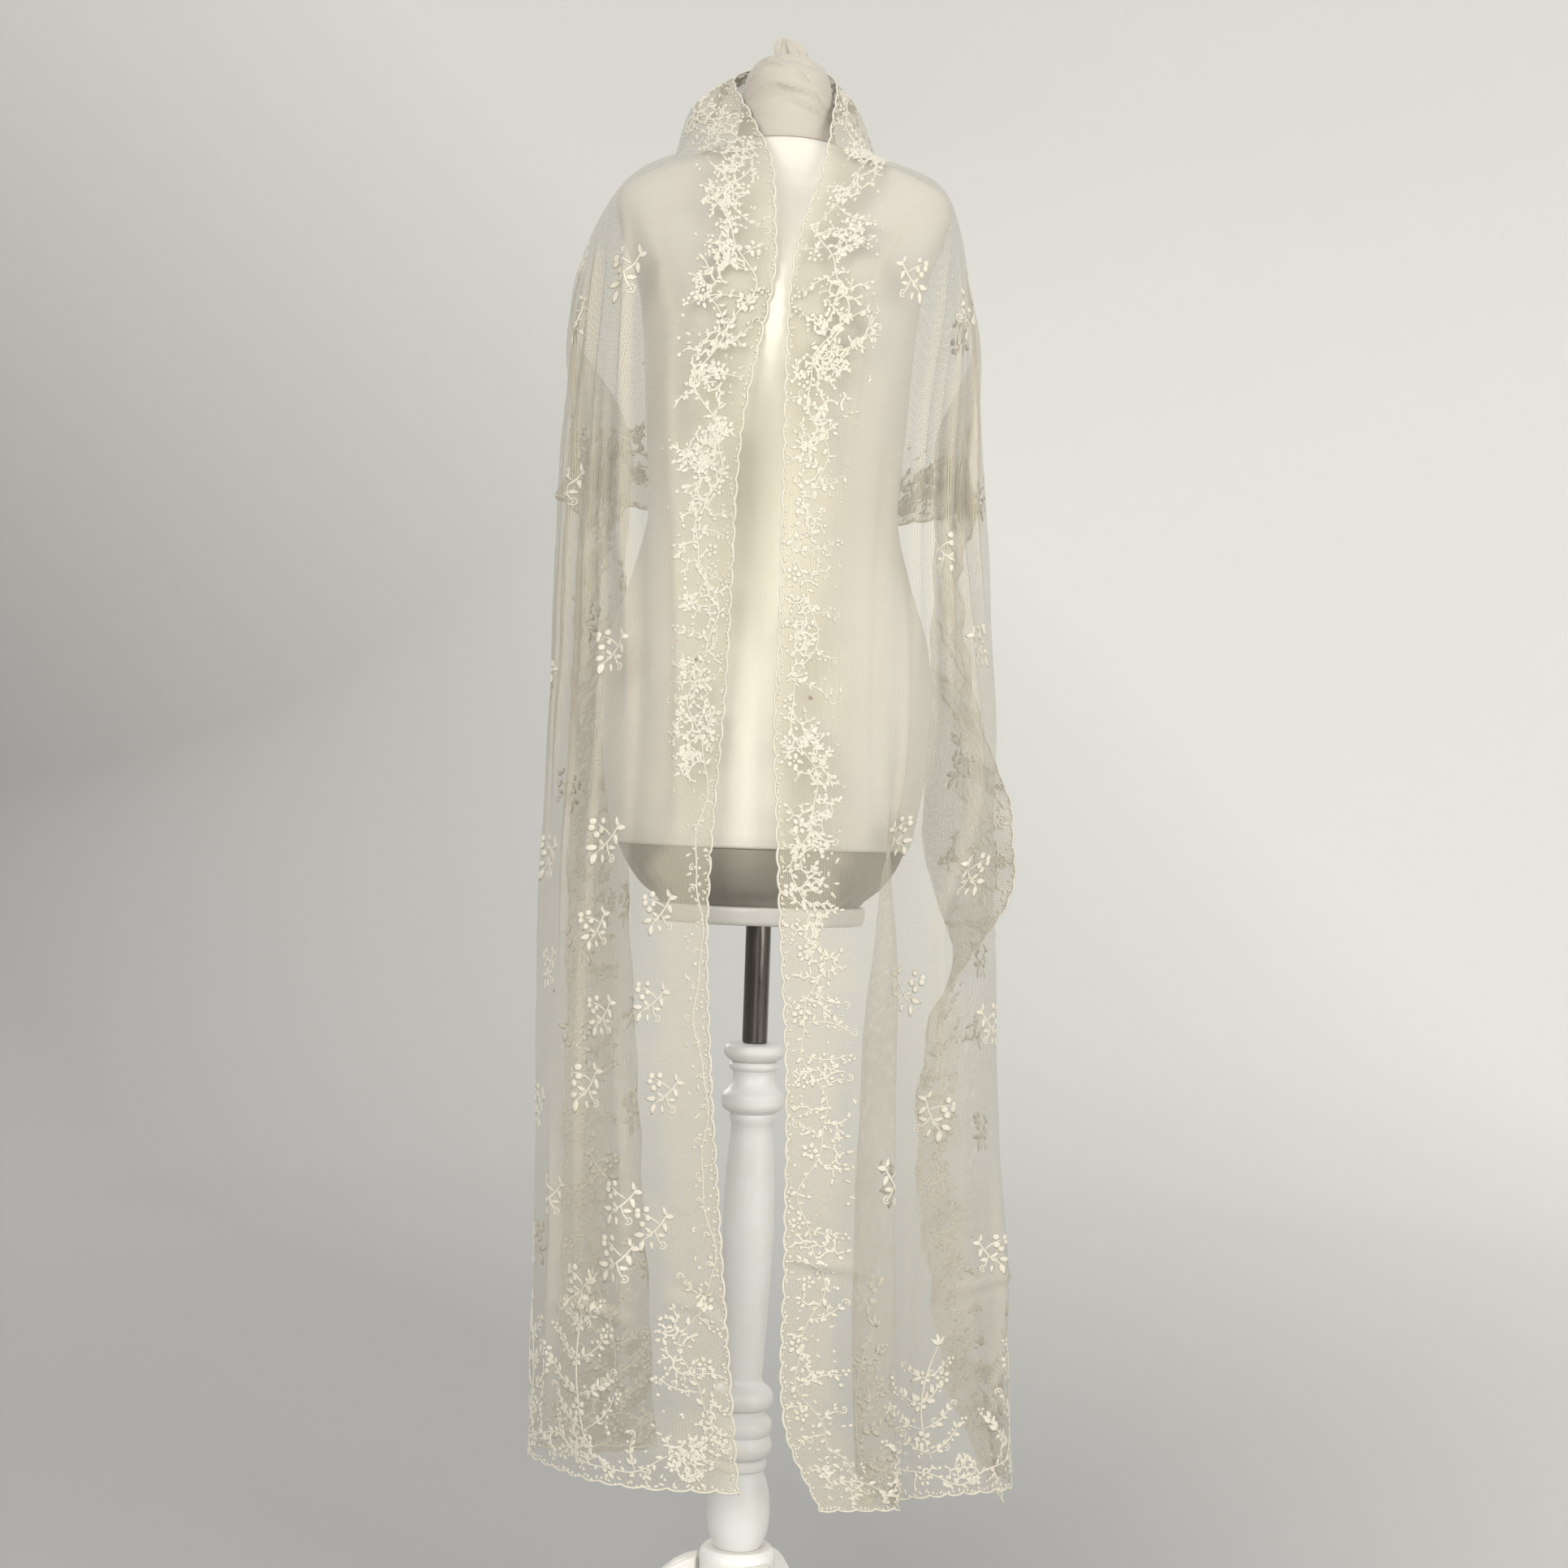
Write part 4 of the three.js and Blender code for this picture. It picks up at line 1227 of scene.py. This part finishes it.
def make_form(jersey):
    torso = loft("form_torso_jersey", TORSO, jersey, inset=TORSO_INSET,
                 shape=torso_shape)
    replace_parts(torso, "form_torso")
    # Painted shade: the underside gets a much darker copy of the jersey, for the shade beneath the form.
    underside_painted_shade = jersey_material("underside_painted_shade", (0.235, 0.22, 0.185), (0.20, 0.187, 0.152))
    underside = loft("form_underside_jersey", UNDERSIDE, underside_painted_shade, shape=underside_shape)
    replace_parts(underside, "form_underside")
    # Painted shade: the neck cap, its knob and the neck seam get a darker copy of the jersey.
    wear_and_painted_shade = jersey_material("painted_shade_jersey", (0.50, 0.455, 0.385), (0.45, 0.405, 0.335))
    cap = loft("form_neck_cap_jersey", NECK_CAP, wear_and_painted_shade, around=176, per_span=13,
               shape=cap_shape)
    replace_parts(cap, "form_neck_cap")
    knob = loft("form_cap_knob_jersey", KNOB, wear_and_painted_shade, around=96, shape=knob_shape)
    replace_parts(knob, "form_cap_knob")
    # Painted shade: the plate gets a darker copy of the white paint, for the form's shade over it.
    plate_painted_shade = paint_material("plate_painted_shade_paint", (0.63, 0.61, 0.56), (0.58, 0.56, 0.51))
    plate = loft("form_plate_smooth", PLATE, plate_painted_shade, around=96, per_span=4)
    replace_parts(plate, "form_plate")
    seam_ring("form_neck_seam", NECK_SEAM, wear_and_painted_shade)
    return torso


def make_stand(paint, chrome):
    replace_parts(turned("stand_pole_smooth", POLE, chrome), "stand_pole")
    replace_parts(turned("stand_post_smooth", POST, paint), "stand_post")
    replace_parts(turned("stand_hub_smooth", HUB, paint), "stand_hub")
    for k in range(LEG_COUNT):
        turn = math.pi + k * 2 * math.pi / LEG_COUNT
        reach = LEG_REACH - FOOT_INSET
        centre = (reach * math.cos(turn), reach * math.sin(turn))
        made = turned(f"stand_foot_{k + 1}_smooth", FOOT, paint, around=48, centre=centre)
        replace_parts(made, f"stand_foot_{k + 1}")
        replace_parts(leg(f"stand_leg_{k + 1}_smooth", turn, paint), f"stand_leg_{k + 1}")


# Sprigs by their places along and across: those that show first, then the hidden ones
SPRIGS = (
    (-330, 150), (-680, 130), (-865, 120), (-950, 125), (-1035, 115), (-1105, 135), (-1215, 95),
    (-935, 52), (-1110, 48), (-1022, 60), (-1215, 190), (-1300, 148),
    (325, 125), (650, 245), (995, 200), (1030, 300), (1175, 105), (1290, 170), (845, 150),
    (-505, 215), (-700, 252), (-880, 228), (-990, 214), (-1130, 240), (-1270, 262),
    (-420, 300), (-610, 338), (-800, 322), (-960, 330), (-1060, 322), (-1190, 344),
    (-540, 392), (-900, 402), (-1120, 398), (-1280, 380),
    (480, 300), (560, 196), (760, 330), (880, 252), (960, 380), (1120, 232), (1140, 392), (1260, 300),
    (-1238, 64), (-1268, 100), (-250, 250), (-150, 180), (-90, 320), (-200, 372), (0, 230), (60, 330),
    (130, 190), (170, 300), (250, 250), (330, 210), (-340, 230),
)

# Larger corals that stand out in the borders: place, turn and size
CORALS = (
    (-432, 30, 2.5, 60), (-452, 22, 2.0, 64), (-474, 46, 2.7, 52), (-498, 18, 1.8, 62),
    (-540, 26, 2.3, 44), (-404, 44, 1.7, 56), (-372, 30, 2.4, 54), (-342, 44, 1.5, 46),
    (-304, 36, 2.2, 52), (-262, 40, 1.4, 50), (-216, 34, 2.0, 54), (-172, 40, 1.2, 46),
    (-620, 26, 1.9, 46), (-704, 22, 2.2, 42), (-770, 18, 1.6, 40), (352, 40, 1.1, 58), (380, 62, 0.7, 56),
    (402, 34, 1.6, 62), (430, 60, 0.9, 54), (458, 26, 1.5, 48), (318, 42, 0.8, 50),
    (280, 34, 1.5, 50), (236, 40, 1.1, 50), (190, 36, 1.8, 48), (540, 20, 1.2, 42),
    (640, 18, 1.7, 44), (770, 18, 1.3, 46), (900, 16, 1.8, 44), (1000, 18, 1.2, 50),
    (1080, 22, 1.7, 46), (-1000, 408, 4.6, 44), (1040, 420, 4.4, 46), (820, 430, 4.9, 44),
    (-300, 428, 4.5, 52), (-120, 430, 4.9, 50), (40, 426, 4.4, 52), (200, 430, 4.8, 50),
    (330, 428, 4.5, 50), (-420, 436, 4.8, 44),
)

# Sprays over both hems: where across they stand, how tall, and whether flipped
SPRAYS = ((140, 150, True), (242, 118, False), (338, 140, True), (424, 100, False))
SPRAY_FOOT = 34

# How far from the net's corners the borders end, and how deep those of the hems are
BORDER_END = 12
HEM_BORDER_END = 14
HEM_BORDER = 52


def make_thread_work(material):
    rng = random.Random(11)
    pieces = []

    edging = Work()
    for put, end in ((left_hem, WIDTH), (right_hem, WIDTH)):
        cord(edging, put, 0, end, rng)
    for put in (inner_edge, outer_edge):
        cord(edging, put, -LEFT_HEM, RIGHT_HEM, rng)
    pieces.append(edging.finish("shawl_corded_edge", material))

    for name, put, depths in (("inner", inner_edge, INNER_BORDER), ("outer", outer_edge, OUTER_BORDER)):
        work = Work()
        border(work, put, -LEFT_HEM + BORDER_END, RIGHT_HEM - BORDER_END, depths, rng)
        pieces.append(work.finish(f"shawl_{name}_border", material))

    sprigs = Work()
    for along, across in SPRIGS:
        turn = rng.uniform(-0.35, 0.35) + (0 if along > 0 else math.pi)
        put = placed(lambda z: z, complex(along, across), turn, rng.uniform(0.92, 1.08), flip=along < 0)
        sprig(sprigs, put, rng)
    for along, across, turn, size in CORALS:
        coral(sprigs, placed(lambda z: z, complex(along, across), turn), size, rng)
    pieces.append(sprigs.finish("shawl_sprigs", material))

    ends = Work()
    for put in (left_hem, right_hem):
        depths = ((0, HEM_BORDER), (WIDTH, HEM_BORDER))
        border(ends, put, HEM_BORDER_END, WIDTH - HEM_BORDER_END, depths, rng)
        for across, tall, flip in SPRAYS:
            spray(ends, placed(put, complex(across, SPRAY_FOOT), math.pi / 2, flip=flip), tall, rng)
    pieces.append(ends.finish("shawl_end_sprays", material))
    return pieces


# Studio: a pale floor that rises into a wall all round, radius and height in metres
BOWL = ((0.0, 0.0), (1.6, 0.0), (3.0, 0.0), (3.6, 0.05), (4.15, 0.28), (4.55, 0.8), (4.7, 1.5),
        (4.75, 2.6), (4.75, 3.8), (4.75, 5.0))
# Soft lights: name, place, side and power, all aimed at one point
LIGHT_AIM = (0.0, 0.0, 1.05)
LIGHTS = (
    ("key", (-1.6, -3.4, 2.3), 2.2, 108),
    ("fill", (2.5, -2.9, 1.7), 2.4, 80),
    ("top", (0.3, 1.2, 4.2), 2.8, 22),
    ("rear", (-2.2, 3.4, 2.4), 2.2, 45),
)
WORLD_GREY = 0.55


def make_studio():
    profile = smooth_line(BOWL[1:], 6)
    around = 96
    points = np.vstack([[(0, 0, 0)], level_rings(profile, around)])
    faces = [(0, 1 + k, 1 + (k + 1) % around) for k in range(around)]
    wall = grid_faces(len(profile), around, flip=True)
    faces += [tuple(1 + corner for corner in face) for face in wall]
    floor = mesh_object("floor", points, faces, studio_material())
    for name, place, side, power in LIGHTS:
        data = bpy.data.lights.new(name, "AREA")
        data.size = side
        data.energy = power
        lamp = add_object(name, data)
        lamp.location = place
        aim = Vector(LIGHT_AIM) - Vector(place)
        lamp.rotation_euler = aim.to_track_quat("-Z", "Y").to_euler()
    world = bpy.data.worlds.new("world")
    world.use_nodes = True
    backdrop = world.node_tree.nodes["Background"]
    backdrop.inputs["Color"].default_value = (0.94, 0.96, 1.0, 1.0)
    backdrop.inputs["Strength"].default_value = WORLD_GREY
    bpy.context.scene.world = world


def make_shawl():
    net = net_mesh(net_material())
    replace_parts(net, "shawl_neck", "shawl_left_shoulder", "shawl_left_fall", "shawl_right_shoulder",
                "shawl_right_fall")
    worked = make_thread_work(thread_material())


jersey = jersey_material("jersey", (0.76, 0.725, 0.655), (0.71, 0.665, 0.575))
paint = paint_material("white_paint", (0.86, 0.855, 0.82), (0.81, 0.80, 0.75))
torso = make_form(jersey)
make_stand(paint, chrome_material())
make_shawl()
make_studio()

scene = bpy.context.scene
scene.cycles.transparent_max_bounces = 32
scene.cycles.max_bounces = 4
scene.cycles.diffuse_bounces = 2
scene.cycles.glossy_bounces = 2
scene.view_settings.view_transform = "Standard"
